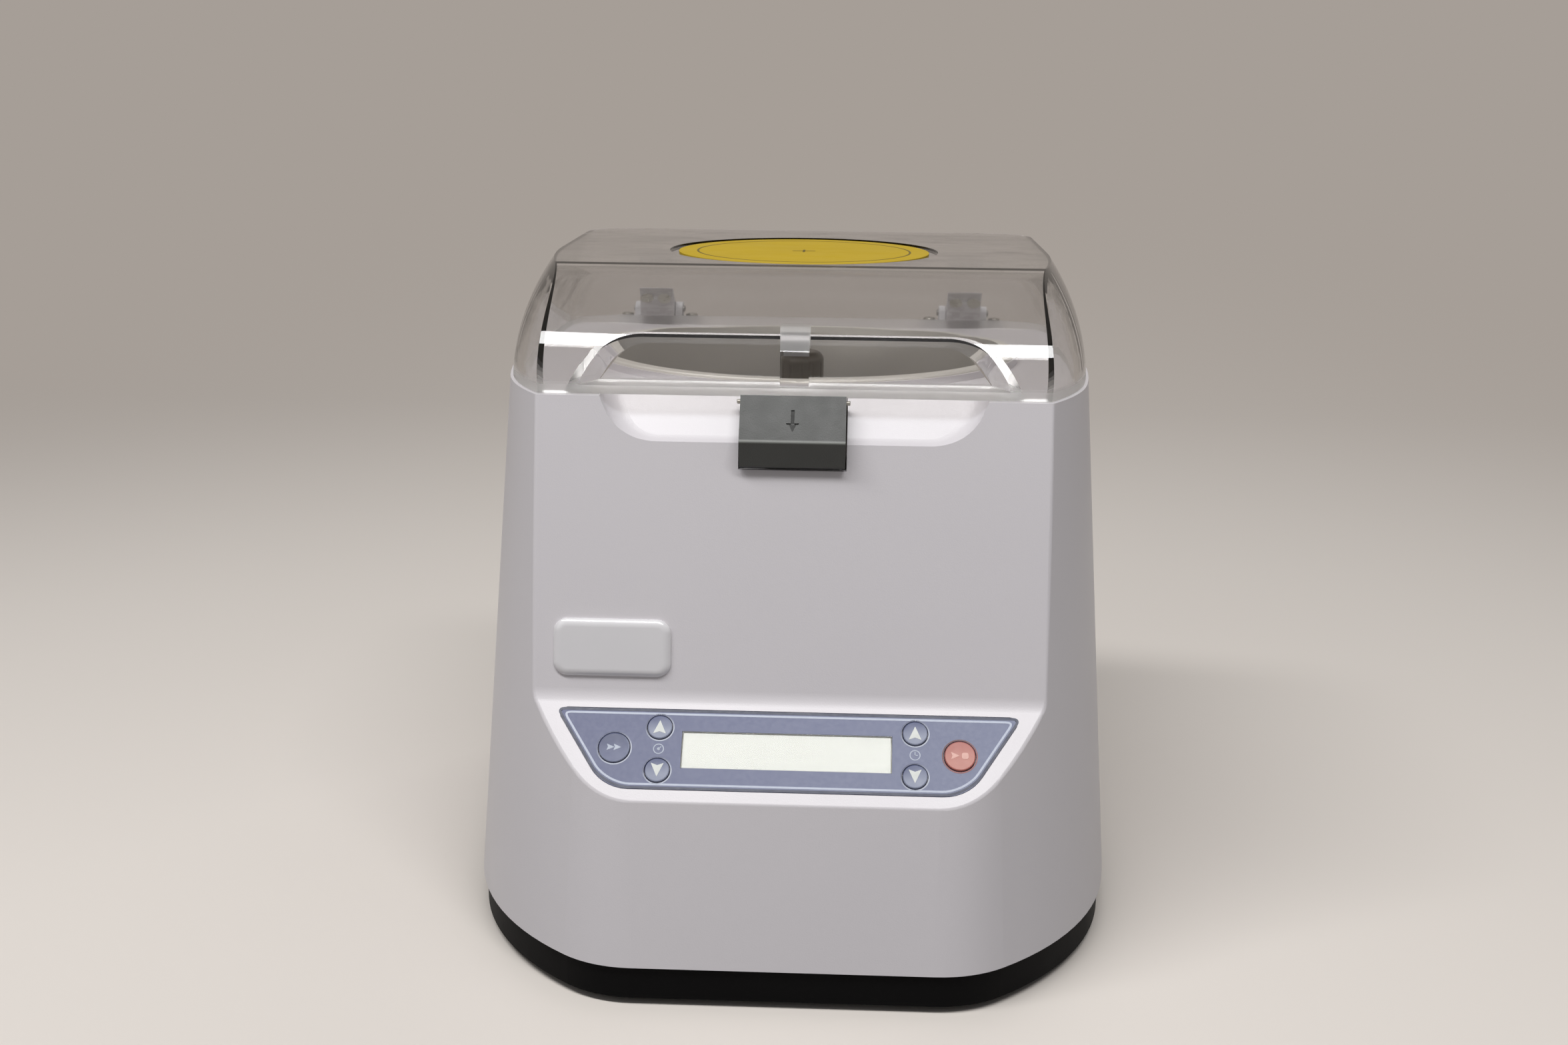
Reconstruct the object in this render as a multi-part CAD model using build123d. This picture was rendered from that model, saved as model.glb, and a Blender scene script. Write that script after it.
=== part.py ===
"""Microplate centrifuge: one STEP file per separate piece, in millimetres.

The origin is on the table under the rotor axis. +Z is up and -Y is the front.
"""

import math
import os

from build123d import *

os.makedirs("parts", exist_ok=True)

# ---------------------------------------------------------------- driving dimensions

overall_width = 250.0
overall_depth = 293.0
lid_top_z = 249.0

# plan of the casing, at its bottom edge
front_y = -overall_depth / 2
rear_y = overall_depth / 2
front_flat_half = 52.8
front_corner_r = 39.0
front_corner_turn = 38.5
shoulder_r = 119.1
shoulder_turn = 80.0
rear_corner_r = 45.0

# casing heights and slopes
casing_bottom_z = 15.1
deck_z = 208.4
draft_deg = 4.53
wall = 3.0
slope_low_z = 75.0
slope_deg = 47.3
slope_top_y = -115.5
slope_top_z = 103.6
front_lean_deg = 6.84
soft_edge_r = 8.0
casing_edge_r = 1.5

# finger scoop under the lid
scoop_bottom_z = 191.9
scoop_slope_deg = 53.0
scoop_top_half = 69.5
scoop_bottom_half = 60.0
scoop_corner_r = 20.0
scoop_blend_r = 8.0

# chamber
mouth_r = 79.5
bowl_wall = 1.8
bowl_floor_z = 88.0
bowl_floor_r = 78.6
mouth_ring_r = 84.8
mouth_ring_z = 211.0
bowl_lip_r = 84.0
lip_top_z = 212.2

# lid
lid_gap = 0.4
lid_reveal = 1.0
lid_wall = 3.5
lid_rear_y = 112.0
lid_side_r = 78.0
lid_side_lean_deg = 2.5
lid_top_shift = 14.0
lid_rear_fall = 12.0
lid_front_lean_deg = 15.0
lid_front_end_y = -55.0
recess_floor_z = 211.6
recess_front_y = -106.0
recess_back_y = -88.6
recess_front_top_z = 243.6
recess_back_top_z = 224.7
recess_front_half = 77.3
recess_back_half = 68.6
recess_front_narrow = 0.26
recess_back_narrow = 0.78
recess_corner_r = 15.0
striker_half = 5.0
striker_bottom_z = 193.5
striker_front_y = -96.4
striker_thick = 2.2
disc_r = 49.0
disc_recess_r = 52.5
disc_recess_depth = 0.9
disc_thick = 0.6

# lid hinge
hinge_x = 70.0
hinge_y = 123.0
hinge_z = 215.0
hinge_pin_r = 2.0
hinge_ear_r = 4.5
hinge_arm_width = 15.0
hinge_ear_width = 3.0

# latch
latch_half = 18.2
latch_y = -99.6
latch_z = 206.6
latch_pin_r = 0.8
latch_arm_x = 15.2
latch_arm_width = 2.0
latch_plate_y = -90.9
latch_bolt_x = 23.5
latch_bolt_z = 190.5

# control face, measured down the slope from its top edge
display_half = 36.3
display_mid_s = 19.3
display_high = 13.3
big_button_r = 5.4
arrow_button_r = 4.3
big_button_x = 59.7
arrow_button_x = 44.3
arrow_high_s = 11.4
arrow_low_s = 27.2
overlay_thick = 0.8
button_gap = 0.3

# rotor, for two 127.76 x 85.48 x 14.35 mm microplates standing on their long edges
pocket_near_x = 21.5
pocket_far_x = 37.2
pocket_half_y = 65.0
pocket_floor_z = 100.0
cradle_top_z = 188.0
rotor_r = 76.4
hub_r = 8.0
hub_top_z = 196.0
shaft_r = 4.0
knob_r = 8.5
knob_top_z = 209.5
running_gap = 0.05

# motor
motor_r = 30.0
motor_low_z = 24.0
motor_plate_z = 74.0
motor_plate_thick = 3.0
motor_plate_r = 52.0
damper_pcd_r = 44.0

# bottom
foot_r = 9.0
pan_bottom_z = 3.0
pan_floor = 2.5
pan_inset = 1.5

foot_places = [(85, -98), (-85, -98), (88, 112), (-88, 112)]

# rear panel
panel_wide = 130.0
panel_high = 50.0
panel_thick = 1.8
panel_sink = 1.6
rear_mid_z = 54.0
inlet_x = -38.0
switch_x = 36.0

button_places = {
    "short_spin_button": (-big_button_x, display_mid_s, big_button_r),
    "speed_up_button": (-arrow_button_x, arrow_high_s, arrow_button_r),
    "speed_down_button": (-arrow_button_x, arrow_low_s, arrow_button_r),
    "time_up_button": (arrow_button_x, arrow_high_s, arrow_button_r),
    "time_down_button": (arrow_button_x, arrow_low_s, arrow_button_r),
    "start_stop_button": (big_button_x, display_mid_s, big_button_r),
}

tilt = math.radians(slope_deg)
slope_plane = Plane(
    origin=(0, slope_top_y, slope_top_z),
    x_dir=(1, 0, 0),
    z_dir=(0, -math.sin(tilt), math.cos(tilt)),
)
lean = math.radians(front_lean_deg)
front_plane = Plane(
    origin=(0, slope_top_y, slope_top_z),
    x_dir=(1, 0, 0),
    z_dir=(0, -math.cos(lean), math.sin(lean)),
)
draft = math.tan(math.radians(draft_deg))
rear_plane = Plane(
    origin=(0, rear_y - panel_sink - draft * (rear_mid_z - casing_bottom_z), rear_mid_z),
    x_dir=(-1, 0, 0),
    z_dir=(0, math.cos(math.atan(draft)), math.sin(math.atan(draft))),
)


# ---------------------------------------------------------------- shared shapes


def plan_wire(inset, z, rear=rear_y):
    """Outline of the casing from above at height z, moved inwards by inset."""
    turn1 = math.radians(front_corner_turn)
    turn2 = math.radians(shoulder_turn)
    half = overall_width / 2
    c1 = (front_flat_half, front_y + front_corner_r)
    step = front_corner_r - shoulder_r
    c2 = (c1[0] + step * math.sin(turn1), c1[1] - step * math.cos(turn1))
    side_r = (half - c2[0] - shoulder_r * math.sin(turn2)) / (1 - math.sin(turn2))
    step = shoulder_r - side_r
    c3 = (c2[0] + step * math.sin(turn2), c2[1] - step * math.cos(turn2))
    c4 = (half - rear_corner_r, rear - rear_corner_r)
    arcs = [
        (c1, front_corner_r, 0, turn1),
        (c2, shoulder_r, turn1, turn2),
        (c3, side_r, turn2, math.pi / 2),
        (c4, rear_corner_r, math.pi / 2, math.pi),
    ]

    def on_arc(centre, radius, angle, side):
        x = centre[0] + (radius - inset) * math.sin(angle)
        y = centre[1] - (radius - inset) * math.cos(angle)
        return (side * x, y, z)

    edges = []
    for side in (1, -1):
        for centre, radius, start, end in arcs:
            middle = (start + end) / 2
            edges.append(
                ThreePointArc(
                    on_arc(centre, radius, start, side),
                    on_arc(centre, radius, middle, side),
                    on_arc(centre, radius, end, side),
                )
            )
        edges.append(
            Line(
                (side * (half - inset), c3[1], z),
                (side * (half - inset), c4[1], z),
            )
        )
    for y, x in ((front_y + inset, c1[0]), (rear - inset, c4[0])):
        edges.append(Line((-x, y, z), (x, y, z)))
    return Wire.combine(edges)[0]


def plan_face(inset, z, rear=rear_y):
    """Flat face inside the outline."""
    return Face(plan_wire(inset, z, rear))


def drafted_block(inset, z_low, z_high):
    """Casing form between two heights, moved inwards by inset."""
    low = plan_face(inset + draft * (z_low - casing_bottom_z), z_low)
    high = plan_face(inset + draft * (z_high - casing_bottom_z), z_high)
    return loft([low, high], ruled=True)


def straight_block(inset, z_low, z_high):
    """Upright block with the casing's outline."""
    return extrude(plan_face(inset, z_low), amount=z_high - z_low)


def profile_along_x(points, x_low, x_high):
    """Solid from a closed polygon of (y, z) points, drawn out along X."""
    face = Face(Wire.make_polygon([(x_low, y, z) for y, z in points], close=True))
    return extrude(face, amount=x_high - x_low, dir=(1, 0, 0))


def cyl(radius, z_low, z_high, x=0, y=0):
    """Upright cylinder."""
    return Pos(x, y, (z_low + z_high) / 2) * Cylinder(radius, z_high - z_low)


def ring(outer, inner, z_low, z_high, x=0, y=0):
    """Upright ring."""
    return cyl(outer, z_low, z_high, x, y) - cyl(inner, z_low - 1, z_high + 1, x, y)


def block(x_range, y_range, z_range):
    """Box between two corners."""
    size = [high - low for low, high in (x_range, y_range, z_range)]
    middle = [(high + low) / 2 for low, high in (x_range, y_range, z_range)]
    return Pos(*middle) * Box(*size)


def rod_along_x(radius, x_low, x_high, y, z):
    """Cylinder along X."""
    return Pos((x_low + x_high) / 2, y, z) * Rot(0, 90, 0) * Cylinder(radius, x_high - x_low)


def rod_along_y(radius, y_low, y_high, x, z):
    """Cylinder along Y."""
    return Pos(x, (y_low + y_high) / 2, z) * Rot(90, 0, 0) * Cylinder(radius, y_high - y_low)


def on_plane(plane, sketch, low, high):
    """Draw a sketch on a plane out between two distances from that plane."""
    return extrude(plane.offset(low) * sketch, amount=high - low)


def slope_point(x, s):
    """Place on the control face: x across, s down the slope."""
    return Pos(x, -s)


def front_cutter(depth):
    """Everything ahead of the upper front and the control face, moved inwards by depth."""
    slope_dir = (math.cos(tilt), math.sin(tilt))
    slope_in = (math.sin(tilt), -math.cos(tilt))
    lean_dir = (math.sin(lean), math.cos(lean))
    lean_in = (math.cos(lean), -math.sin(lean))
    a = (slope_top_y + slope_in[0] * depth, slope_top_z + slope_in[1] * depth)
    b = (slope_top_y + lean_in[0] * depth, slope_top_z + lean_in[1] * depth)
    cross = slope_dir[0] * lean_dir[1] - slope_dir[1] * lean_dir[0]
    along = ((b[0] - a[0]) * lean_dir[1] - (b[1] - a[1]) * lean_dir[0]) / cross
    corner = (a[0] + slope_dir[0] * along, a[1] + slope_dir[1] * along)
    reach = 110.0
    low = (corner[0] - slope_dir[0] * reach, corner[1] - slope_dir[1] * reach)
    high = (corner[0] + lean_dir[0] * 130, corner[1] + lean_dir[1] * 130)
    solid = profile_along_x([low, corner, high, (low[0], high[1])], -150, 150)
    edge = solid.edges().filter_by(Axis.X).sort_by_distance((0, *corner))[0]
    return fillet(edge, soft_edge_r + depth)


# ---------------------------------------------------------------- casing


def scoop_form(grow):
    """Finger scoop under the lid, grown on all sides by grow."""
    top = deck_z + 6
    points = [
        (-scoop_bottom_half - grow, scoop_bottom_z - grow),
        (scoop_bottom_half + grow, scoop_bottom_z - grow),
        (scoop_top_half + grow, top),
        (-scoop_top_half - grow, top),
    ]
    face = Face(Wire.make_polygon([(x, -150, z) for x, z in points], close=True))
    low_corners = face.vertices().sort_by(Axis.Z)[:2]
    face = fillet(low_corners, scoop_corner_r + grow)
    form = extrude(face, amount=80, dir=(0, 1, 0))
    slope = math.radians(scoop_slope_deg)
    foot_y = slope_top_y + (scoop_bottom_z - slope_top_z) * math.tan(lean)
    y = foot_y + grow * math.sin(slope)
    z = scoop_bottom_z - grow * math.cos(slope)
    low = (y - 60 * math.cos(slope), z - 60 * math.sin(slope))
    high = (y + 60 * math.cos(slope), z + 60 * math.sin(slope))
    behind = profile_along_x([low, high, (-40, high[1]), (-40, low[1])], -110, 110)
    form = form - behind
    if grow:
        return form
    slanted = [
        face
        for face in form.faces()
        if abs(abs(face.normal_at().Y) - math.sin(slope)) < 0.02 and abs(face.normal_at().X) < 0.01
    ]
    sides = []
    for edge in max(slanted, key=lambda face: face.area).edges():
        box = edge.bounding_box()
        if box.min.Z < deck_z and box.max.Z - box.min.Z > 3:
            sides.append(edge)
    return fillet(sides, scoop_blend_r)


def screw_boss(x, y):
    """Square boss inside the casing for one screw from the pan."""
    side = 1 if x > 0 else -1
    outer_x = x + side * 20
    return block(sorted((x - side * 6, outer_x)), (y - 6, y + 6), (24, 60))


panel_screw_places = [(61.5, 21.5), (-61.5, 21.5), (61.5, -21.5), (-61.5, -21.5)]
pan_screw_places = [(106, -72), (-106, -72), (110, 92), (-110, 92)]


def casing_wall_form(depth):
    """Casing form moved inwards by depth, open past its bottom edge."""
    low_z = casing_bottom_z - (1 if depth else 0)
    high_z = deck_z - depth
    return drafted_block(depth, low_z, high_z) - front_cutter(depth)


def casing_skin():
    """Outside form of the casing, with its front edges softened."""
    form = casing_wall_form(0)
    edges = []
    for edge in form.edges():
        box = edge.bounding_box()
        front = box.max.Y < -100 and box.min.Z > slope_low_z - 0.5 and box.max.Z < deck_z + 0.1
        level = edge.geom_type == GeomType.LINE and box.min.Z > 80
        if front and not level:
            edges.append(edge)
    return fillet(edges, casing_edge_r)


def overlay_sketch(grow):
    """Outline of the keypad overlay, grown by grow, in slope coordinates."""
    points = [(-81.5, -4.6), (-62.5, -34.0), (62.5, -34.0), (81.5, -4.6)]
    face = Face(Wire.make_polygon([(x, y, 0) for x, y in points], close=True))
    corners = face.vertices().sort_by(Axis.Y)
    face = fillet(corners[:2], 16)
    top = face.vertices().sort_by(Axis.Y)[-2:]
    face = fillet(top, 2.5)
    return offset(face, grow) if grow else face


def slope_cutouts():
    """Recess for the overlay, display opening and button wells in the control face."""
    cut = on_plane(slope_plane, overlay_sketch(0.25), -overlay_thick, 5)
    opening = slope_point(0, display_mid_s) * Rectangle(2 * display_half + 1, display_high + 1)
    cut += on_plane(slope_plane, opening, -9, 1)
    for x, s, radius in button_places.values():
        well = slope_point(x, s) * Circle(radius + button_gap)
        cut += on_plane(slope_plane, well, -2.1, 1)
        hole = slope_point(x, s) * Circle(2.3)
        cut += on_plane(slope_plane, hole, -9, 1)
    return cut


def rear_cutouts():
    """Recess and opening for the rear panel, and a row of vent slots above it."""
    cut = on_plane(rear_plane, Rectangle(panel_wide, panel_high), -panel_thick, 10)
    cut += on_plane(rear_plane, Rectangle(panel_wide - 14, panel_high - 12), -10, 10)
    for x, y in panel_screw_places:
        cut += on_plane(rear_plane, Pos(x, y) * Circle(1.3), -4.6, 1)
    for index in range(13):
        slot = Pos((index - 6) * 8.0, 62) * SlotOverall(34, 3.2, rotation=90)
        cut += on_plane(rear_plane, slot, -10, 10)
    return cut


def latch_window():
    """Window in the casing behind the latch."""
    half = latch_half + 0.5
    return block((-half, half), (-125, -91.5), (183.9, deck_z + 6))


def main_housing():
    """Light casing: deck, drafted sides, control face and finger scoop."""
    cavity = casing_wall_form(wall) - scoop_form(2.6)
    cavity -= on_plane(slope_plane, Pos(0, -19) * Rectangle(170, 44), -3.6, 5)
    cavity -= on_plane(rear_plane, Rectangle(panel_wide + 10, panel_high + 10), -5, 5)
    outer = casing_skin()
    shell = outer - cavity
    for x, y in pan_screw_places:
        shell += screw_boss(x, y) & outer
    for x in (-latch_bolt_x, latch_bolt_x):
        shell += block((x - 3.5, x + 3.5), (-103.5, latch_plate_y), (184, 197)) & outer
    shell += cyl(mouth_ring_r, deck_z - wall, mouth_ring_z)
    shell -= cyl(mouth_r + bowl_wall + 0.5, deck_z - 20, mouth_ring_z + 1)
    shell -= scoop_form(0)
    shell -= latch_window()
    for x, y in pan_screw_places:
        shell -= cyl(2.05, 20, 48, x, y)
    for x in (-latch_bolt_x, latch_bolt_x):
        shell -= rod_along_y(1.3, -100.5, latch_plate_y + 1, x, latch_bolt_z)
    for x in (-hinge_x, hinge_x):
        for offset in (-15, 15):
            shell -= cyl(1.55, deck_z - 10, deck_z + 1, x + offset, hinge_y)
    shell -= slope_cutouts()
    shell -= rear_cutouts()
    return shell


def base_pan():
    """Black tray under the casing, with screw posts and a locating lip."""
    pan = straight_block(pan_inset, pan_bottom_z, casing_bottom_z)
    pan -= straight_block(pan_inset + 2.5, pan_bottom_z + pan_floor, casing_bottom_z + 1)
    lip = straight_block(4.0, pan_bottom_z + 1, 22) - straight_block(6.0, pan_bottom_z, 23)
    pan += lip
    for x, y in pan_screw_places:
        pan += cyl(6.5, pan_bottom_z + 1, 23.7, x, y)
    for x, y in pan_screw_places:
        pan -= cyl(2.2, pan_bottom_z - 1, 30, x, y)
        pan -= cyl(4.0, pan_bottom_z - 1, 8, x, y)
    for x in (-60, 60):
        for index in range(9):
            y = -40 + index * 8
            pan -= block((x - 16, x + 16), (y - 1.5, y + 1.5), (0, 8))
    return pan


def rubber_feet():
    """Four round feet."""
    feet = []
    for x, y in foot_places:
        foot = cyl(foot_r, 0, pan_bottom_z, x, y)
        foot = chamfer(foot.edges().sort_by(Axis.Z)[0], 0.8)
        feet.append(foot)
    return Compound(feet)


def pan_screws():
    """Four pan head screws from the pan into the casing."""
    screws = []
    for x, y in pan_screw_places:
        screw = cyl(3.6, 5.4, 8, x, y) + cyl(2.0, 8, 40, x, y)
        screw -= cross_slot(x, y, 5.4)
        screws.append(screw)
    return Compound(screws)


def cross_slot(x, y, z):
    """Cross recess for a driver, cut 1 mm each side of height z."""
    slot = block((x - 2, x + 2), (y - 0.4, y + 0.4), (z - 1, z + 1))
    return slot + block((x - 0.4, x + 0.4), (y - 2, y + 2), (z - 1, z + 1))


def front_badge():
    """Blank domed badge low on the left of the upper front."""
    sketch = Pos(-62, 17.5) * RectangleRounded(41.2, 20.4, 5)
    badge = on_plane(front_plane, sketch, 0, 2.0)
    rim = badge.faces().sort_by(Axis((0, 0, 0), front_plane.z_dir))[-1].edges()
    return fillet(rim, 1.3)


# ---------------------------------------------------------------- chamber


def revolved(points):
    """Solid of revolution about Z from a closed polygon of (radius, z) points."""
    face = Face(Wire.make_polygon([(r, 0, z) for r, z in points], close=True))
    return revolve(face, axis=Axis.Z, revolution_arc=360)


def chamber_bowl():
    """Bowl with an outward lip and a short centre sleeve."""
    floor_top = bowl_floor_z + 2
    outer = revolved(
        [
            (0, bowl_floor_z),
            (bowl_floor_r + bowl_wall, bowl_floor_z),
            (mouth_r + bowl_wall, mouth_ring_z),
            (bowl_lip_r, mouth_ring_z),
            (bowl_lip_r, lip_top_z),
            (0, lip_top_z),
        ]
    )
    outer = fillet(round_edges(outer, bowl_floor_r + bowl_wall, bowl_floor_z), 9)
    outer = fillet(round_edges(outer, bowl_lip_r, lip_top_z), 0.8)
    inner = revolved(
        [(0, floor_top), (bowl_floor_r, floor_top), (mouth_r, lip_top_z + 1), (0, lip_top_z + 1)]
    )
    inner = fillet(round_edges(inner, bowl_floor_r, floor_top), 7.5)
    bowl = outer - (inner - cyl(11.0, bowl_floor_z, bowl_floor_z + 5))
    return bowl - cyl(9.2, bowl_floor_z - 1, lip_top_z)


def round_edges(solid, radius, z):
    """Circular edges of a solid at one radius and height."""
    return [
        edge
        for edge in solid.edges().filter_by(GeomType.CIRCLE)
        if abs(edge.radius - radius) < 0.01 and abs(edge.center().Z - z) < 0.01
    ]


def bowl_seal():
    """Thin seal between the casing's mouth ring and the bowl, under the lip."""
    top = mouth_ring_z
    return ring(mouth_r + bowl_wall + 0.4, mouth_r + bowl_wall, deck_z - 6, top - 0.2)


def shaft_seal():
    """Rubber seal in the bowl's centre sleeve."""
    return ring(9.2, shaft_r + 0.35, bowl_floor_z, bowl_floor_z + 4)


# ---------------------------------------------------------------- lid

lid_low_z = deck_z + lid_gap
lid_front_y = slope_top_y + (deck_z - slope_top_z) * math.tan(lean) + lid_reveal


def lid_inset(z):
    """How far the lid's sides have moved in at height z from the casing's bottom outline."""
    start = draft * (deck_z - casing_bottom_z) + lid_reveal
    first = math.radians(lid_side_lean_deg)
    sine = math.sin(first) + (z - lid_low_z) / lid_side_r
    return start + lid_side_r * (math.cos(first) - math.sqrt(1 - sine * sine))


def lid_sides(depth, z_low, z_high):
    """Curved block for the lid's sides, widest further back near its top."""
    steps = 4
    faces = []
    for index in range(steps + 1):
        z = z_low + (z_high - z_low) * index / steps
        share = (z - lid_low_z) / (lid_top_z - lid_low_z)
        shift = lid_top_shift * share**2
        rear = lid_rear_y + lid_inset(lid_low_z) - lid_rear_fall * share**3 - shift
        faces.append(Pos(0, shift, 0) * plan_face(lid_inset(z) + depth, z, rear))
    return loft(faces)


def lid_arc():
    """Centre (y, z) and radius of the lid's curved front."""
    first = math.radians(lid_front_lean_deg)
    rise = lid_top_z - lid_low_z
    run = lid_front_end_y - lid_front_y
    last = 2 * math.atan2(run, rise) - first
    radius = rise / (math.sin(last) - math.sin(first))
    centre = (lid_front_y + radius * math.cos(first), lid_low_z - radius * math.sin(first))
    return centre, radius


def lid_front_cutter(depth):
    """Everything ahead of the lid's curved front, moved inwards by depth."""
    (centre_y, centre_z), full_radius = lid_arc()
    radius = full_radius - depth
    top = lid_top_z - depth
    end_angle = math.asin((top - centre_z) / radius)

    def at(angle):
        return (-150, centre_y - radius * math.cos(angle), centre_z + radius * math.sin(angle))

    high = lid_top_z + 15
    arc = ThreePointArc(at(0), at(end_angle / 2), at(end_angle))
    corners = [at(end_angle), (-150, at(end_angle)[1], high), (-150, -170, high)]
    corners += [(-150, -170, centre_z), at(0)]
    lines = [Line(a, b) for a, b in zip(corners, corners[1:])]
    face = Face(Wire.combine([arc, *lines])[0])
    return extrude(face, amount=300, dir=(1, 0, 0))


def lid_form(depth, z_low):
    """Solid lid form moved inwards by depth."""
    return lid_sides(depth, z_low, lid_top_z - depth) - lid_front_cutter(depth)


def recess_face(share, grow):
    """Section of the lid's finger recess, grown by grow, at a share of its depth."""

    def between(front, back):
        return front + (back - front) * share

    y = between(recess_front_y, recess_back_y)
    top = between(recess_front_top_z, recess_back_top_z)
    narrow = between(recess_front_narrow, recess_back_narrow)
    low_half = between(recess_front_half, recess_back_half) + grow
    top_half = low_half - narrow * (top - recess_floor_z)
    low = recess_floor_z - 3 * grow
    low_half += narrow * 3 * grow
    points = [(-low_half, low), (low_half, low), (top_half, top + grow), (-top_half, top + grow)]
    face = Face(Wire.make_polygon([(x, y, z) for x, z in points], close=True))
    corners = face.vertices().sort_by(Axis.Z)
    return fillet(corners[2:], recess_corner_r + grow)


def recess_form(grow):
    """Finger recess in the lid's front, with a sloping ceiling."""
    deeper = grow / (recess_back_y - recess_front_y)
    return loft([recess_face(0, grow), recess_face(1 + deeper, grow)], ruled=True)


def lid_shell():
    """Clear lid with the finger recess, striker post and disc recess."""
    outer = lid_form(0, lid_low_z)
    kept = recess_form(lid_wall)
    cavity = lid_form(lid_wall, lid_low_z - 1) - kept
    shell = outer - cavity - recess_form(0)
    post_y = (striker_front_y, recess_back_y + 1)
    shell += block((-striker_half, striker_half), post_y, (recess_floor_z - 1, 231)) & outer
    tab_y = (striker_front_y, striker_front_y + striker_thick)
    tab = block((-striker_half, striker_half), tab_y, (striker_bottom_z, recess_floor_z))
    shell += tab - block((-3.4, 3.4), (-100, -90), (200, 204))
    shell -= cyl(disc_recess_r, lid_top_z - disc_recess_depth, lid_top_z + 2)
    for x in (-hinge_x, hinge_x):
        for offset, z in arm_screw_places:
            shell -= rod_along_y(1.6, 95, 120, x + offset, z)
            shell -= rod_along_y(3.3, 80, arm_seat_y, x + offset, z)
    return shell


def lid_disc():
    """Plain round disc in the lid's top recess."""
    low = lid_top_z - disc_recess_depth
    return cyl(disc_r, low, low + disc_thick)


arm_screw_places = [(-4.0, 222.5), (4.0, 222.5)]
arm_seat_y = 105.6


def hinge_arms():
    """Two arms from the back of the lid to the hinge axis."""
    points = [
        (100, 212.5),
        (100, 231),
        (110.5, 231),
        (115.5, 223),
        (hinge_y, hinge_z + 4.2),
        (hinge_y, hinge_z - 4.2),
        (116, 210.8),
    ]
    lid = lid_form(0, lid_low_z)
    arms = []
    for x in (-hinge_x, hinge_x):
        half = hinge_arm_width / 2
        arm = profile_along_x(points, x - half, x + half)
        arm += rod_along_x(4.2, x - half, x + half, hinge_y, hinge_z)
        arm -= lid
        arm -= rod_along_x(hinge_pin_r + running_gap, x - 20, x + 20, hinge_y, hinge_z)
        for offset, z in arm_screw_places:
            arm -= rod_along_y(1.55, 95, 114.5, x + offset, z)
        arms.append(arm)
    return Compound([solid for arm in arms for solid in arm.solids()])


def hinge_arm_screws():
    """Screws from inside the lid into the arms."""
    screws = []
    for x in (-hinge_x, hinge_x):
        for offset, z in arm_screw_places:
            head = rod_along_y(3.0, arm_seat_y - 2, arm_seat_y, x + offset, z)
            head -= Pos(x + offset, arm_seat_y - 2, z) * Box(4, 1.6, 0.8)
            screws.append(head + rod_along_y(1.5, arm_seat_y, 114, x + offset, z))
    return Compound(screws)


def hinge_brackets():
    """Two deck brackets, each with two ears for its hinge pin."""
    brackets = []
    for x in (-hinge_x, hinge_x):
        inner = hinge_arm_width / 2 + 0.3
        outer = inner + hinge_ear_width
        base_top = deck_z + 1.8
        bracket = block((x - 19, x + 19), (115.5, 130), (deck_z, base_top))
        bracket = fillet(bracket.edges().filter_by(Axis.Z), 3)
        for side in (-1, 1):
            span = sorted((x + side * inner, x + side * outer))
            ear = rod_along_x(hinge_ear_r, *span, hinge_y, hinge_z)
            sides = [
                (hinge_y - hinge_ear_r, hinge_z),
                (hinge_y + hinge_ear_r, hinge_z),
                (hinge_y + 6, deck_z + 0.5),
                (hinge_y - 6, deck_z + 0.5),
            ]
            bracket += ear + profile_along_x(sides, *span)
        bracket -= rod_along_x(hinge_pin_r + 0.02, x - 25, x + 25, hinge_y, hinge_z)
        for offset in (-15, 15):
            bracket -= cyl(1.7, deck_z - 1, base_top + 1, x + offset, hinge_y)
        brackets.append(bracket)
    return Compound([solid for bracket in brackets for solid in bracket.solids()])


def bracket_screws():
    """Pan head screws that hold the brackets on the deck."""
    screws = []
    for x in (-hinge_x, hinge_x):
        for offset in (-15, 15):
            low = deck_z + 1.8
            screw = cyl(2.8, low, low + 1.8, x + offset, hinge_y)
            screw = fillet(screw.edges().sort_by(Axis.Z)[-1], 0.8)
            screw += cyl(1.5, deck_z - 6, low + 0.2, x + offset, hinge_y)
            screw -= cross_slot(x + offset, hinge_y, low + 1.8)
            screws.append(screw)
    return Compound(screws)


def hinge_pins():
    """Two hinge pins with domed ends."""
    pins = []
    for x in (-hinge_x, hinge_x):
        half = hinge_arm_width / 2 + 0.3 + hinge_ear_width + 1.0
        pin = rod_along_x(hinge_pin_r, x - half, x + half, hinge_y, hinge_z)
        pins.append(fillet(pin.edges().filter_by(GeomType.CIRCLE), 0.6))
    return Compound(pins)


# ---------------------------------------------------------------- latch


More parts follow.
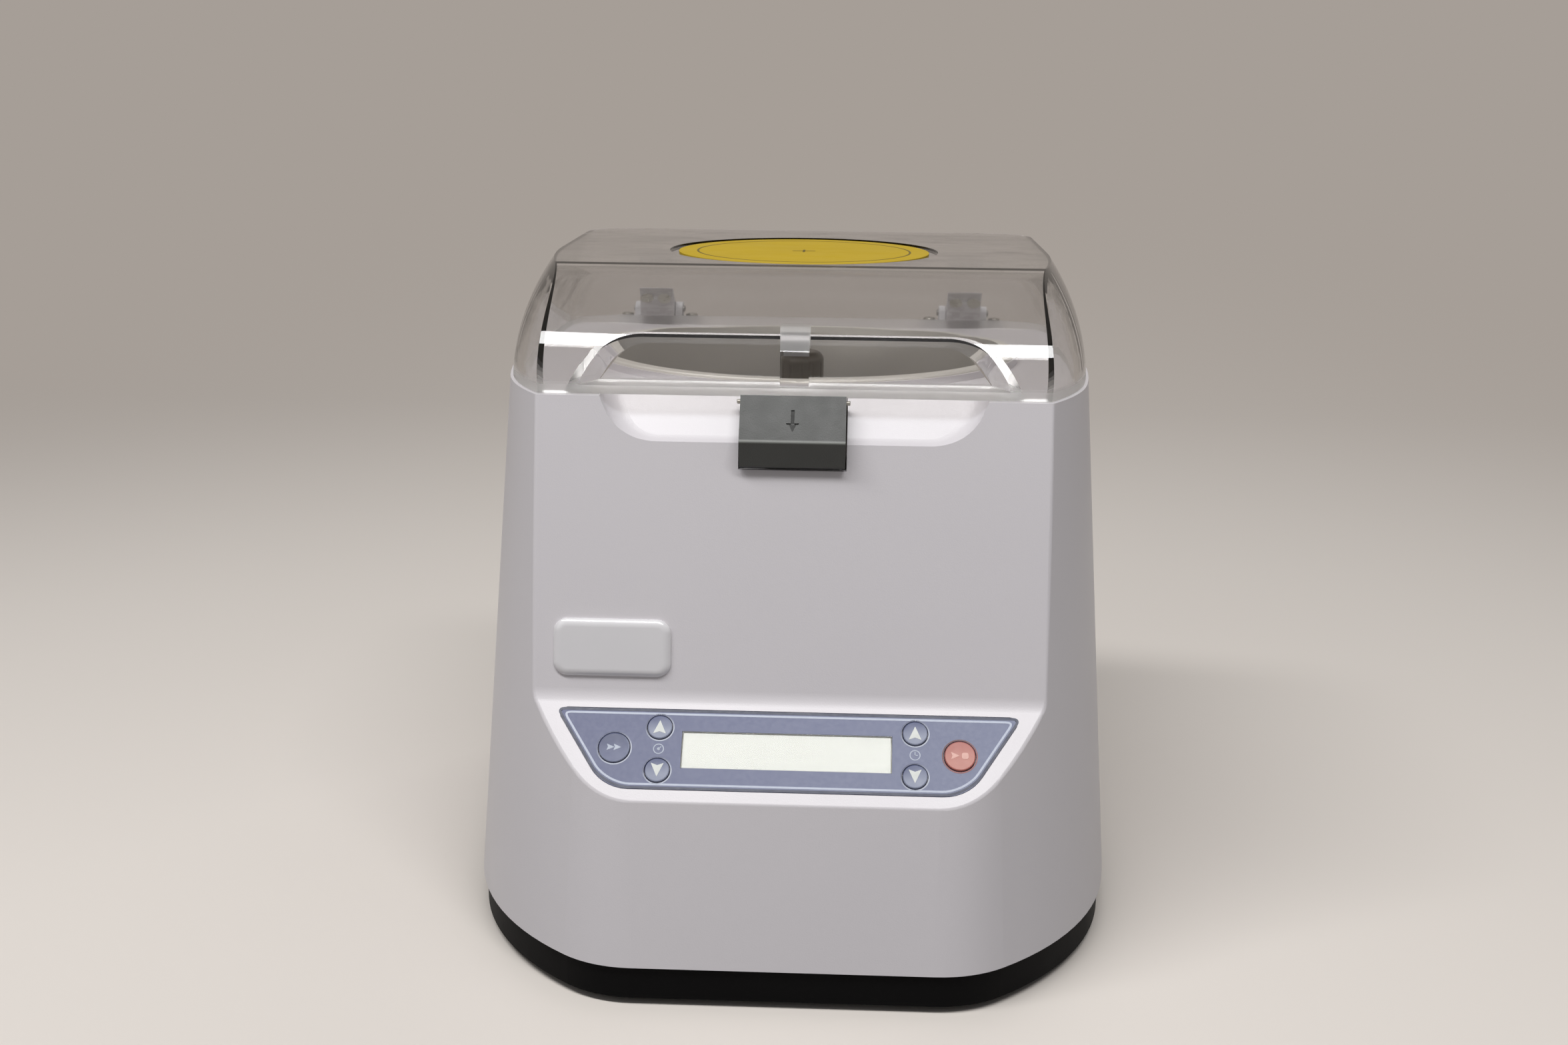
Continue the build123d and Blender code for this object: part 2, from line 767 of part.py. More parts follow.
def latch_lever():
    """Wide latch lever with two arms and a crossbar behind the lid's striker."""
    points = [
        (-102.5, 209.4),
        (-112.4, 194.9),
        (-108.7, 185.3),
        (-105.6, 185.3),
        (-107.6, 194.6),
        (-103.2, 201.5),
        (-100.9, 204.9),
    ]
    lever = profile_along_x(points, -latch_half, latch_half)
    ridge = lever.edges().filter_by(Axis.X).sort_by_distance((0, -112.4, 194.9))[0]
    foot = lever.edges().filter_by(Axis.X).sort_by_distance((0, -108.7, 185.3))[0]
    lever = fillet([ridge, foot], 0.8)
    boss = rod_along_x(1.7, -latch_half, latch_half, latch_y, latch_z)
    neck = [(-102.0, 208.2), (-101.0, 205.0), (latch_y, 205.2), (latch_y, 208.2)]
    lever += boss + profile_along_x(neck, -latch_half, latch_half)
    lever -= rod_along_x(1.9, -6.6, 6.6, latch_y, latch_z)
    for side in (-1, 1):
        span = sorted((side * (latch_arm_x - 1.25), side * (latch_arm_x + 1.25)))
        lever -= rod_along_x(2.1, *span, latch_y, latch_z)
        lever -= block(span, (-101.2, -95), (203.5, 208.8))
        arm = [(-104.4, 199.5), (-91.9, 199.5), (-91.9, 203), (-102.4, 203)]
        lever += profile_along_x(arm, *sorted((side * 6.6, side * 9.0)))
    lever += block((-9, 9), (-93.6, -91.9), (200.5, 203))
    lever += block((-3, 3), (-93.9, -93.5), (201, 202.6))
    lever -= rod_along_x(latch_pin_r + running_gap, -30, 30, latch_y, latch_z)
    return lever - latch_arrow()


def latch_arrow():
    """Shallow down arrow cut into the lever's upper face."""
    lean_back = math.atan2(209.4 - 194.9, 112.4 - 102.5)
    face_plane = Plane(
        origin=(0, -108.4, 200.76),
        x_dir=(1, 0, 0),
        z_dir=(0, -math.sin(lean_back), math.cos(lean_back)),
    )
    head = Polygon((-2.3, 0.2), (0, -3.0), (2.3, 0.2), align=None)
    stem = Pos(0, 2.6) * Rectangle(1.2, 5.0)
    return on_plane(face_plane, head + stem, -0.5, 2)


def latch_pin():
    """Plain pin through the lever and the bracket's two eyes."""
    pin = rod_along_x(latch_pin_r, -19.6, 19.6, latch_y, latch_z)
    return fillet(pin.edges().filter_by(GeomType.CIRCLE), 0.3)


def latch_spring():
    """Torsion spring around the pin, with a leg on the lever and one on the bracket."""
    wire_r = 0.25
    mean_r = 1.35
    half = 6.0
    path = Helix(pitch=1.0, height=2 * half, radius=mean_r)
    profile = Plane(origin=path @ 0, z_dir=path % 0) * Circle(wire_r)
    coil = Pos(-half, latch_y, latch_z) * Rot(0, 90, 0) * sweep(profile, path, is_frenet=True)
    low_z = latch_z - mean_r
    front = spring_leg((-half, latch_y, low_z), (-half, -101.85, 202.95), wire_r)
    back = spring_leg((half, latch_y, low_z), (half, -92.3, 204.4), wire_r)
    return coil + front + back


def spring_leg(start, end, radius):
    """Round wire between two points, rounded at the start."""
    leg = Plane(origin=start, z_dir=Vector(*end) - Vector(*start)) * Circle(radius)
    length = (Vector(*end) - Vector(*start)).length
    return extrude(leg, amount=length) + Pos(*start) * Sphere(radius)


def latch_bracket():
    """Steel plate behind the scoop with two arms that carry the latch pin."""
    plate = block((-27, 27), (latch_plate_y, latch_plate_y + 2), (176, 205.2))
    plate = fillet(plate.edges().filter_by(Axis.Y), 2)
    points = [
        (latch_y, latch_z + 1.7),
        (latch_y, latch_z - 1.7),
        (latch_plate_y + 1, 198),
        (latch_plate_y + 1, 204),
        (latch_plate_y - 1.5, 205.0),
        (-94.5, 206.5),
    ]
    for side in (-1, 1):
        half = latch_arm_width / 2
        span = sorted((side * (latch_arm_x - half), side * (latch_arm_x + half)))
        plate += profile_along_x(points, *span) + rod_along_x(1.7, *span, latch_y, latch_z)
    plate -= rod_along_x(latch_pin_r + 0.02, -30, 30, latch_y, latch_z)
    for x in (-latch_bolt_x, latch_bolt_x):
        plate -= rod_along_y(1.5, -95, -85, x, latch_bolt_z)
    return plate


def bracket_bolts():
    """Two bolts that hold the latch bracket on the casing's bosses."""
    bolts = []
    for x in (-latch_bolt_x, latch_bolt_x):
        low = latch_plate_y + 2
        head = rod_along_y(2.6, low, low + 2, x, latch_bolt_z)
        head -= block((x - 2, x + 2), (low + 1.2, low + 3), (latch_bolt_z - 0.4, latch_bolt_z + 0.4))
        bolts.append(head + rod_along_y(1.25, -100, low, x, latch_bolt_z))
    return Compound(bolts)


def lid_sensor():
    """Forked light sensor that the striker dips into."""
    sensor = block((-8.6, 8.6), (-98.5, latch_plate_y), (184, 190))
    for side in (-1, 1):
        sensor += block(sorted((side * 5.6, side * 8.6)), (-98.2, -93), (189, 197.5))
        slot = block(sorted((side * 5.6, side * 6.4)), (-96.3, -94.9), (193.5, 196.0))
        sensor -= slot
    return sensor


# ---------------------------------------------------------------- control face


def keypad_overlay():
    """Printed plate in the control face, with button holes and a display opening."""
    sketch = overlay_sketch(0)
    size = (2 * display_half + 0.3, display_high + 0.3)
    sketch -= slope_point(0, display_mid_s) * Rectangle(*size)
    for x, s, radius in button_places.values():
        sketch -= slope_point(x, s) * Circle(radius + button_gap)
    return on_plane(slope_plane, sketch, -overlay_thick, 0)


def display_window():
    """Clear window over the display."""
    sketch = slope_point(0, display_mid_s) * Rectangle(2 * display_half, display_high)
    return on_plane(slope_plane, sketch, -overlay_thick, 0)


def display_module():
    """Display module behind the window."""
    body = slope_point(0, display_mid_s) * Rectangle(80, 19.5)
    face = slope_point(0, display_mid_s) * Rectangle(72, 12.8)
    module = on_plane(slope_plane, body, -9.2, -3.7)
    return module + on_plane(slope_plane, face, -3.8, -overlay_thick - 0.1)


def push_button(x, s, radius):
    """Round push button with a low dome and a stem to its switch."""
    cap = on_plane(slope_plane, slope_point(x, s) * Circle(radius), -1.2, 0.7)
    top = cap.edges().filter_by(GeomType.CIRCLE).sort_by_distance(slope_spot(x, s, 3))[0]
    cap = fillet(top, 0.45)
    return cap + on_plane(slope_plane, slope_point(x, s) * Circle(2.0), -6.0, -1.1)


def slope_spot(x, s, out):
    """World position of a point on the control face, out along its normal."""
    return (slope_plane.offset(out) * slope_point(x, s)).position


def control_board():
    """Circuit board behind the control face with six switch blocks."""
    board = slope_point(0, 18.5) * RectangleRounded(136, 27, 2)
    solid = on_plane(slope_plane, board, -11.0, -9.4)
    for x, s, _ in button_places.values():
        solid += on_plane(slope_plane, slope_point(x, s) * Rectangle(6.2, 6.2), -9.5, -7.6)
        solid += on_plane(slope_plane, slope_point(x, s) * Circle(1.6), -7.7, -6.9)
    for x in (-66, 66):
        for s in (7.5, 29.5):
            solid -= on_plane(slope_plane, slope_point(x, s) * Circle(1.2), -12, -9)
    return solid


def board_posts():
    """Four posts between the control face and its board."""
    posts = []
    for x in (-66, 66):
        for s in (7.5, 29.5):
            post = on_plane(slope_plane, slope_point(x, s) * Circle(1.9), -9.4, -3.6)
            post += on_plane(slope_plane, slope_point(x, s) * Circle(1.1), -11.6, -9.3)
            posts.append(post)
    return Compound(posts)


# ---------------------------------------------------------------- rear panel

inlet_mid_y = 6.0
fuse_mid_y = -11.0


def rear_panel():
    """Metal panel that carries the power inlet and the switch."""
    sketch = RectangleRounded(panel_wide - 0.4, panel_high - 0.4, 1)
    sketch -= Pos(inlet_x, 0) * Rectangle(27.4, 32.4)
    sketch -= Pos(switch_x, 0) * Rectangle(18.4, 24.4)
    for x, y in panel_screw_places:
        sketch -= Pos(x, y) * Circle(1.5)
    return on_plane(rear_plane, sketch, -panel_thick, 0)


def rear_panel_screws():
    """Four pan head screws in the rear panel."""
    screws = []
    for x, y in panel_screw_places:
        head = on_plane(rear_plane, Pos(x, y) * Circle(2.6), 0, 1.4)
        cross = Rectangle(2.8, 0.6) + Rectangle(0.6, 2.8)
        head -= on_plane(rear_plane, Pos(x, y) * cross, 0.6, 2)
        screws.append(head + on_plane(rear_plane, Pos(x, y) * Circle(1.25), -4.4, 0.1))
    return Compound(screws)


def power_inlet():
    """Mains inlet housing with a fuse slot under the socket."""
    body = on_plane(rear_plane, Pos(inlet_x, 0) * RectangleRounded(31, 36, 1.5), 0, 2.5)
    body += on_plane(rear_plane, Pos(inlet_x, 0) * Rectangle(27, 32), -18, 0.1)
    socket = Rectangle(24.2, 16.4)
    socket = chamfer(socket.vertices().sort_by(Axis.Y)[-2:], 4.2)
    body -= on_plane(rear_plane, Pos(inlet_x, inlet_mid_y) * socket, -12.5, 5)
    slot = Pos(inlet_x, fuse_mid_y) * Rectangle(23, 9)
    return body - on_plane(rear_plane, slot, -16, 5)


def inlet_blades():
    """Three flat contact blades in the inlet."""
    blades = []
    for x, y in ((-7, -2), (7, -2), (0, 2)):
        sketch = Pos(inlet_x + x, inlet_mid_y + y) * Rectangle(2, 4)
        blades.append(on_plane(rear_plane, sketch, -12.5, 0.5))
    return Compound(blades)


def fuse_drawer():
    """Drawer for the fuse, with a pull notch."""
    drawer = on_plane(rear_plane, Pos(inlet_x, fuse_mid_y) * Rectangle(22.4, 8.4), -15, 3.0)
    notch = Pos(inlet_x, fuse_mid_y + 2.6) * Rectangle(8, 2.4)
    drawer -= on_plane(rear_plane, notch, 1.2, 5)
    trough = Pos(inlet_x, fuse_mid_y) * Rectangle(18, 5.6)
    return drawer - on_plane(rear_plane, trough, -14, -2)


def switch_bezel():
    """Frame of the mains switch."""
    bezel = on_plane(rear_plane, Pos(switch_x, 0) * RectangleRounded(20, 27, 1), 0, 2)
    bezel += on_plane(rear_plane, Pos(switch_x, 0) * Rectangle(18, 24), -16, 0.1)
    opening = Pos(switch_x, 0) * Rectangle(12.6, 20.8)
    return bezel - on_plane(rear_plane, opening, -11, 5)


rocker_pivot_depth = 4.0
rocker_rest_deg = 8.0


def power_rocker():
    """Rocker of the mains switch, tipped to its off side."""
    points = [(-9.4, -3.5), (-9.4, 1.6), (0, 0.2), (9.4, 1.6), (9.4, -3.5), (0, -7)]
    turn = math.radians(rocker_rest_deg)
    turned = []
    for v, n in points:
        out = n + rocker_pivot_depth
        turned.append(
            (
                v * math.cos(turn) - out * math.sin(turn),
                v * math.sin(turn) + out * math.cos(turn) - rocker_pivot_depth,
            )
        )
    corners = [rear_spot(switch_x - 6.0, v, n) for v, n in turned]
    face = Face(Wire.make_polygon(corners, close=True))
    return extrude(face, amount=12.0, dir=tuple(rear_plane.x_dir))


def rear_spot(x, y, out):
    """World position of a point on the rear panel, out along its normal."""
    return (rear_plane * Pos(x, y, out)).position


# ---------------------------------------------------------------- motor and drive


def motor_can():
    """Motor case with a closed bottom and a bearing seat."""
    can = cyl(motor_r, motor_low_z, 70) - cyl(motor_r - 2, motor_low_z + 2, 71)
    can += ring(11, 9.02, motor_low_z + 2, 32)
    return can


def motor_cap():
    """Motor end cap with a pilot and a pocket for the upper bearing."""
    cap = cyl(motor_r, 70, motor_plate_z) + cyl(11, motor_plate_z, 80)
    cap -= cyl(9.02, 69, 76)
    cap -= cyl(4.6, 60, 90)
    for x, y in ring_places(22, 4, 45):
        cap -= cyl(1.55, 69, 75, x, y)
    return cap


def ring_places(radius, count, start_deg):
    """Evenly spaced (x, y) places on a circle."""
    places = []
    for index in range(count):
        angle = math.radians(start_deg + 360 * index / count)
        places.append((radius * math.cos(angle), radius * math.sin(angle)))
    return places


def motor_stator():
    """Stator ring with twelve winding slots."""
    stator = ring(motor_r - 2.05, 20, 34, 66)
    for angle in range(0, 360, 30):
        slot = Pos(23.4, 0, 50) * Box(3.6, 4.2, 40)
        stator -= Rot(0, 0, angle) * slot
    return stator


def motor_core():
    """Magnet core on the shaft."""
    return ring(19.2, shaft_r, 36, 64)


def motor_shaft():
    """Steel shaft from the lower bearing up to the rotor."""
    shaft = cyl(shaft_r, 27, 205)
    return chamfer(shaft.edges().filter_by(GeomType.CIRCLE), 0.5)


def motor_bearings():
    """Two bearings of the motor."""
    inner = shaft_r + running_gap
    return Compound([ring(9, inner, 26, 32), ring(9, inner, 70, 76)])


def motor_plate():
    """Round plate under the bowl that carries the motor."""
    plate = ring(motor_plate_r, 11.2, motor_plate_z, motor_plate_z + motor_plate_thick)
    for x, y in ring_places(22, 4, 45):
        plate -= cyl(1.7, motor_plate_z - 1, motor_plate_z + 5, x, y)
    for x, y in ring_places(damper_pcd_r, 3, 30):
        plate -= cyl(2.1, motor_plate_z - 1, motor_plate_z + 5, x, y)
    return plate


def motor_screws():
    """Four screws between the motor plate and the motor."""
    top = motor_plate_z + motor_plate_thick
    screws = []
    for x, y in ring_places(22, 4, 45):
        screw = cyl(2.8, top, top + 2.5, x, y) + cyl(1.5, 70.5, top, x, y)
        screws.append(screw - cyl(1.3, top + 1, top + 3, x, y))
    return Compound(screws)


def motor_dampers():
    """Three rubber dampers under the motor plate, each with a stud."""
    top = motor_plate_z
    dampers = []
    for x, y in ring_places(damper_pcd_r, 3, 30):
        damper = cyl(7, top - 12, top, x, y) - ring(8, 6.2, top - 7, top - 5, x, y)
        dampers.append(damper + cyl(2.0, top - 0.5, top + 6, x, y))
    return Compound(dampers)


def damper_posts():
    """Three posts from the pan up to the dampers."""
    floor = pan_bottom_z + pan_floor
    posts = []
    for x, y in ring_places(damper_pcd_r, 3, 30):
        posts.append(cyl(5, floor, motor_plate_z - 12, x, y) + cyl(8, floor, floor + 3, x, y))
    return Compound(posts)


# ---------------------------------------------------------------- supply

supply_board_z = 14.0
supply_places = [(-40, 67), (40, 67), (-40, 117), (40, 117)]


def supply_board():
    """Power supply board with its larger parts."""
    top = supply_board_z + 1.6
    board = block((-45, 45), (62, 122), (supply_board_z, top))
    board += block((-32, -6), (80, 106), (top - 0.1, 36))
    board += block((4, 30), (70, 80), (top - 0.1, 32))
    for x, y, radius, height in ((12, 104, 8, 28), (31, 104, 8, 28), (31, 90, 5, 16)):
        board += cyl(radius, top - 0.1, top + height, x, y)
    for x, y in supply_places:
        board -= cyl(1.6, supply_board_z - 1, top + 1, x, y)
    return board


def supply_posts():
    """Four posts under the supply board."""
    floor = pan_bottom_z + pan_floor
    posts = []
    for x, y in supply_places:
        post = cyl(3, floor, supply_board_z, x, y)
        posts.append(post + cyl(1.5, supply_board_z - 0.1, supply_board_z + 2.4, x, y))
    return Compound(posts)


# ---------------------------------------------------------------- rotor


def rotor_hub():
    """Hub clamped on the shaft: round flange and tall column."""
    hub = cyl(17, pocket_floor_z - 6, pocket_floor_z - 3) + cyl(hub_r, 96, hub_top_z)
    hub = fillet(round_edges(hub, hub_r, hub_top_z), 1)
    return hub - cyl(shaft_r, 90, 200) - rotor_screw_holes()


def rotor_screw_holes():
    """Four screw holes in the hub flange and the cradle."""
    holes = Part()
    for x, y in ring_places(12.5, 4, 45):
        holes += cyl(1.55, 92, 101, x, y)
    return holes


def rotor_cradle():
    """Cradle with two upright pockets, one on each side of the hub."""
    base_low = pocket_floor_z - 3
    edge_x = pocket_far_x + 1.5
    edge_y = pocket_half_y + 1.5
    base = block((-edge_x, edge_x), (-edge_y, edge_y), (base_low, pocket_floor_z))
    cradle = base - cyl(hub_r + 0.05, base_low - 1, pocket_floor_z + 1)
    for side in (-1, 1):
        near = side * (pocket_near_x - 2)
        far = side * edge_x
        outer = block(sorted((near, far)), (-edge_y, edge_y), (base_low, cradle_top_z))
        pocket_x = sorted((side * pocket_near_x, side * pocket_far_x))
        span = (-pocket_half_y, pocket_half_y)
        outer -= block(pocket_x, span, (pocket_floor_z, cradle_top_z + 1))
        for y in (-38, 0, 38):
            outer -= block(sorted((side * 30, side * 45)), (y - 14, y + 14), (112, 176))
        notch = sorted((side * 15, side * 45))
        outer -= rod_along_x(20, *notch, 0, cradle_top_z + 6)
        cradle += outer
        web = block(sorted((side * (hub_r + 0.05), near)), (-1.5, 1.5), (base_low, 170))
        cradle += web
    cradle &= cyl(rotor_r, 90, 200)
    return cradle - rotor_screw_holes()


def rotor_screws():
    """Four screws that hold the cradle on the hub flange."""
    screws = []
    for x, y in ring_places(12.5, 4, 45):
        head = cyl(2.8, pocket_floor_z, pocket_floor_z + 2, x, y)
        head -= cyl(1.3, pocket_floor_z + 1, pocket_floor_z + 3, x, y)
        screws.append(head + cyl(1.5, 94.5, pocket_floor_z, x, y))
    return Compound(screws)


def rotor_knob():
    """Domed knob on the end of the rotor shaft."""
    low = hub_top_z + 0.3
    knob = cyl(knob_r, low, knob_top_z)
    knob = fillet(round_edges(knob, knob_r, knob_top_z), 3.5)
    for x, y in ring_places(knob_r + 0.5, 12, 0):
        knob -= cyl(0.9, low - 1, knob_top_z - 4, x, y)
    return knob - cyl(shaft_r + running_gap, low - 1, 205.5)


# ---------------------------------------------------------------- export

pieces = {
    "base_pan": base_pan,
    "rubber_feet": rubber_feet,
    "pan_screws": pan_screws,
    "main_housing": main_housing,
    "front_badge": front_badge,
    "rear_panel": rear_panel,
    "rear_panel_screws": rear_panel_screws,
    "power_inlet": power_inlet,
    "inlet_blades": inlet_blades,
    "fuse_drawer": fuse_drawer,
    "switch_bezel": switch_bezel,
    "power_rocker": power_rocker,
    "chamber_bowl": chamber_bowl,
    "bowl_seal": bowl_seal,
    "shaft_seal": shaft_seal,
    "lid_shell": lid_shell,
    "lid_disc": lid_disc,
    "hinge_arms": hinge_arms,
    "hinge_arm_screws": hinge_arm_screws,
    "hinge_brackets": hinge_brackets,
    "bracket_screws": bracket_screws,
    "hinge_pins": hinge_pins,
    "latch_lever": latch_lever,
    "latch_pin": latch_pin,
    "latch_spring": latch_spring,
    "latch_bracket": latch_bracket,
    "bracket_bolts": bracket_bolts,
    "lid_sensor": lid_sensor,
    "keypad_overlay": keypad_overlay,
    "display_window": display_window,
    "display_module": display_module,
    "control_board": control_board,
    "board_posts": board_posts,
    "motor_can": motor_can,
    "motor_cap": motor_cap,
    "motor_stator": motor_stator,
    "motor_core": motor_core,
    "motor_shaft": motor_shaft,
    "motor_bearings": motor_bearings,
    "motor_plate": motor_plate,
    "motor_screws": motor_screws,
    "motor_dampers": motor_dampers,
    "damper_posts": damper_posts,
    "supply_board": supply_board,
    "supply_posts": supply_posts,
    "rotor_hub": rotor_hub,
    "rotor_cradle": rotor_cradle,
    "rotor_screws": rotor_screws,
    "rotor_knob": rotor_knob,
}


def export_all():
    """Write one file per piece into the parts folder."""
    for name, build in pieces.items():
        export_step(build(), f"parts/{name}.step")
    for name, (x, s, radius) in button_places.items():
        export_step(push_button(x, s, radius), f"parts/{name}.step")


if __name__ == "__main__":
    export_all()
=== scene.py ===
"""Looks of a bench centrifuge for microplates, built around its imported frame.

Everything is in the frame's own axes: Z up, the front towards -Y, the origin on the
table under the rotor axis. Lengths are in metres, and in millimetres where a name
ends in _mm.
"""

from __future__ import annotations

import logging
import math
from dataclasses import dataclass, replace
from enum import Enum
from typing import Callable

import bpy
from mathutils import Matrix, Vector


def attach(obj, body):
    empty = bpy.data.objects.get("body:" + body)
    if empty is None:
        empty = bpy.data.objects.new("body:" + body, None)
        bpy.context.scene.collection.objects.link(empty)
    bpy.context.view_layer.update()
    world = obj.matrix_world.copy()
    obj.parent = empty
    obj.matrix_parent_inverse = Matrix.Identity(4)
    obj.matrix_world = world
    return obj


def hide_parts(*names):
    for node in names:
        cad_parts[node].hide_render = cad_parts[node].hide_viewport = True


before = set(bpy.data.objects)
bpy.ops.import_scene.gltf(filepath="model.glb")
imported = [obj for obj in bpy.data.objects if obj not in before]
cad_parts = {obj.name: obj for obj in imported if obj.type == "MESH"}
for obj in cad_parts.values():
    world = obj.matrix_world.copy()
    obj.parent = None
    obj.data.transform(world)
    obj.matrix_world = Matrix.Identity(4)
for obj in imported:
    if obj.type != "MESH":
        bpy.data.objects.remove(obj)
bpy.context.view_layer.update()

logging.basicConfig(level=logging.INFO, format="%(message)s")
log = logging.getLogger("centrifuge")

Tree = bpy.types.NodeTree
Socket = bpy.types.NodeSocket
Piece = bpy.types.Object
Colour = tuple[float, float, float, float]
Point = tuple[float, float, float]
Pair = tuple[float, float]

MM = 0.001
# Distance below which two corners count as one.
TINY = 1e-6
# The edge where the casing's front turns into the sloping control face, and that
# face's angle from level.
FACE_TOP_Y = -115.5 * MM
FACE_TOP_Z = 103.6 * MM
FACE_TILT = math.radians(47.3)
# Painted shade and painted highlight on the keys and the rings round them fall this way: lighter towards
# the lower right of the face, this much across it and this much down it.
SHADE_ACROSS = 0.55
SHADE_DOWN = 0.83
# Colour of the room and of the far backdrop, as the eye sees them.
ROOM_SEEN = "#A69E97"

# Sockets of a Mix node that mixes colours: the first, the second and the result.
MIX_NEAR = 6
MIX_FAR = 7
MIX_RESULT = 2
# Nearly all of a noise texture lies between these two values.
NOISE_LOW = 0.3
NOISE_HIGH = 0.7
# Gloss changes in patches this many times finer than those of the colour.
GLOSS_FINER = 2.3
# Octaves of the noise in colour, gloss and relief, and how rough the relief's is.
COLOUR_DETAIL = 3.0
GLOSS_DETAIL = 4.0
RELIEF_DETAIL = 2.0
RELIEF_ROUGH = 0.6


# ---------------------------------------------------------------- colour and nodes


def linear(hex_code: str) -> Colour:
    """Turn an sRGB hex colour into the linear colour that a shader takes.

    Args:
        hex_code: Colour such as "#D9D6D6".

    Returns:
        Linear red, green, blue and an alpha of 1.
    """
    values = [int(hex_code[i : i + 2], 16) / 255 for i in (1, 3, 5)]
    lin = [v / 12.92 if v <= 0.04045 else ((v + 0.055) / 1.055) ** 2.4 for v in values]
    return (lin[0], lin[1], lin[2], 1.0)


def add_node(tree: Tree, kind: str, inputs: dict | None = None, **settings: object) -> bpy.types.Node:
    """Add a node with its settings, its fixed inputs and its links.

    Args:
        tree: Node tree that takes the node.
        kind: Blender's type name of the node.
        inputs: Input name or number to a fixed value or to the socket that feeds it.
        **settings: Properties of the node itself.

    Returns:
        The new node.
    """
    node = tree.nodes.new(kind)
    for key, value in settings.items():
        setattr(node, key, value)
    for key, value in (inputs or {}).items():
        if isinstance(value, Socket):
            tree.links.new(value, node.inputs[key])
        else:
            node.inputs[key].default_value = value
    return node


def blend(tree: Tree, place: Socket, span: Pair, near: Colour | Socket, far: Colour | Socket) -> Socket:
    """Turn one colour into another while a place crosses a span.

    Args:
        tree: Node tree of the material.
        place: Place or distance that drives the change.
        span: Where the change starts and where it is full.
        near: Colour at the start.
        far: Colour at the end.

    Returns:
        The colour socket.
    """
    rise = {"Value": place, "From Min": span[0], "From Max": span[1]}
    share = add_node(tree, "ShaderNodeMapRange", rise).outputs["Result"]
    colours = {"Factor": share, MIX_NEAR: near, MIX_FAR: far}
    return add_node(tree, "ShaderNodeMix", colours, data_type="RGBA").outputs[MIX_RESULT]


def seen_ray(tree: Tree) -> Socket:
    """Tell rays that see a surface, straight or by way of gloss or glass, from light rays.

    Args:
        tree: Node tree of the material or the world.

    Returns:
        A socket that is 1 for camera, glossy and transmission rays.
    """
    rays = add_node(tree, "ShaderNodeLightPath").outputs
    seen = rays["Is Camera Ray"]
    for name in ("Is Glossy Ray", "Is Transmission Ray"):
        either = {0: seen, 1: rays[name]}
        seen = add_node(tree, "ShaderNodeMath", either, operation="MAXIMUM").outputs["Value"]
    return seen


class Grain(Enum):
    """Direction in which a surface's fine lines run, as the density of its relief on each axis."""

    EVEN = (1.0, 1.0, 1.0)
    ALONG_X = (0.02, 1.0, 1.0)
    STACKED = (0.02, 0.02, 1.0)


# ---------------------------------------------------------------- kinds of finish


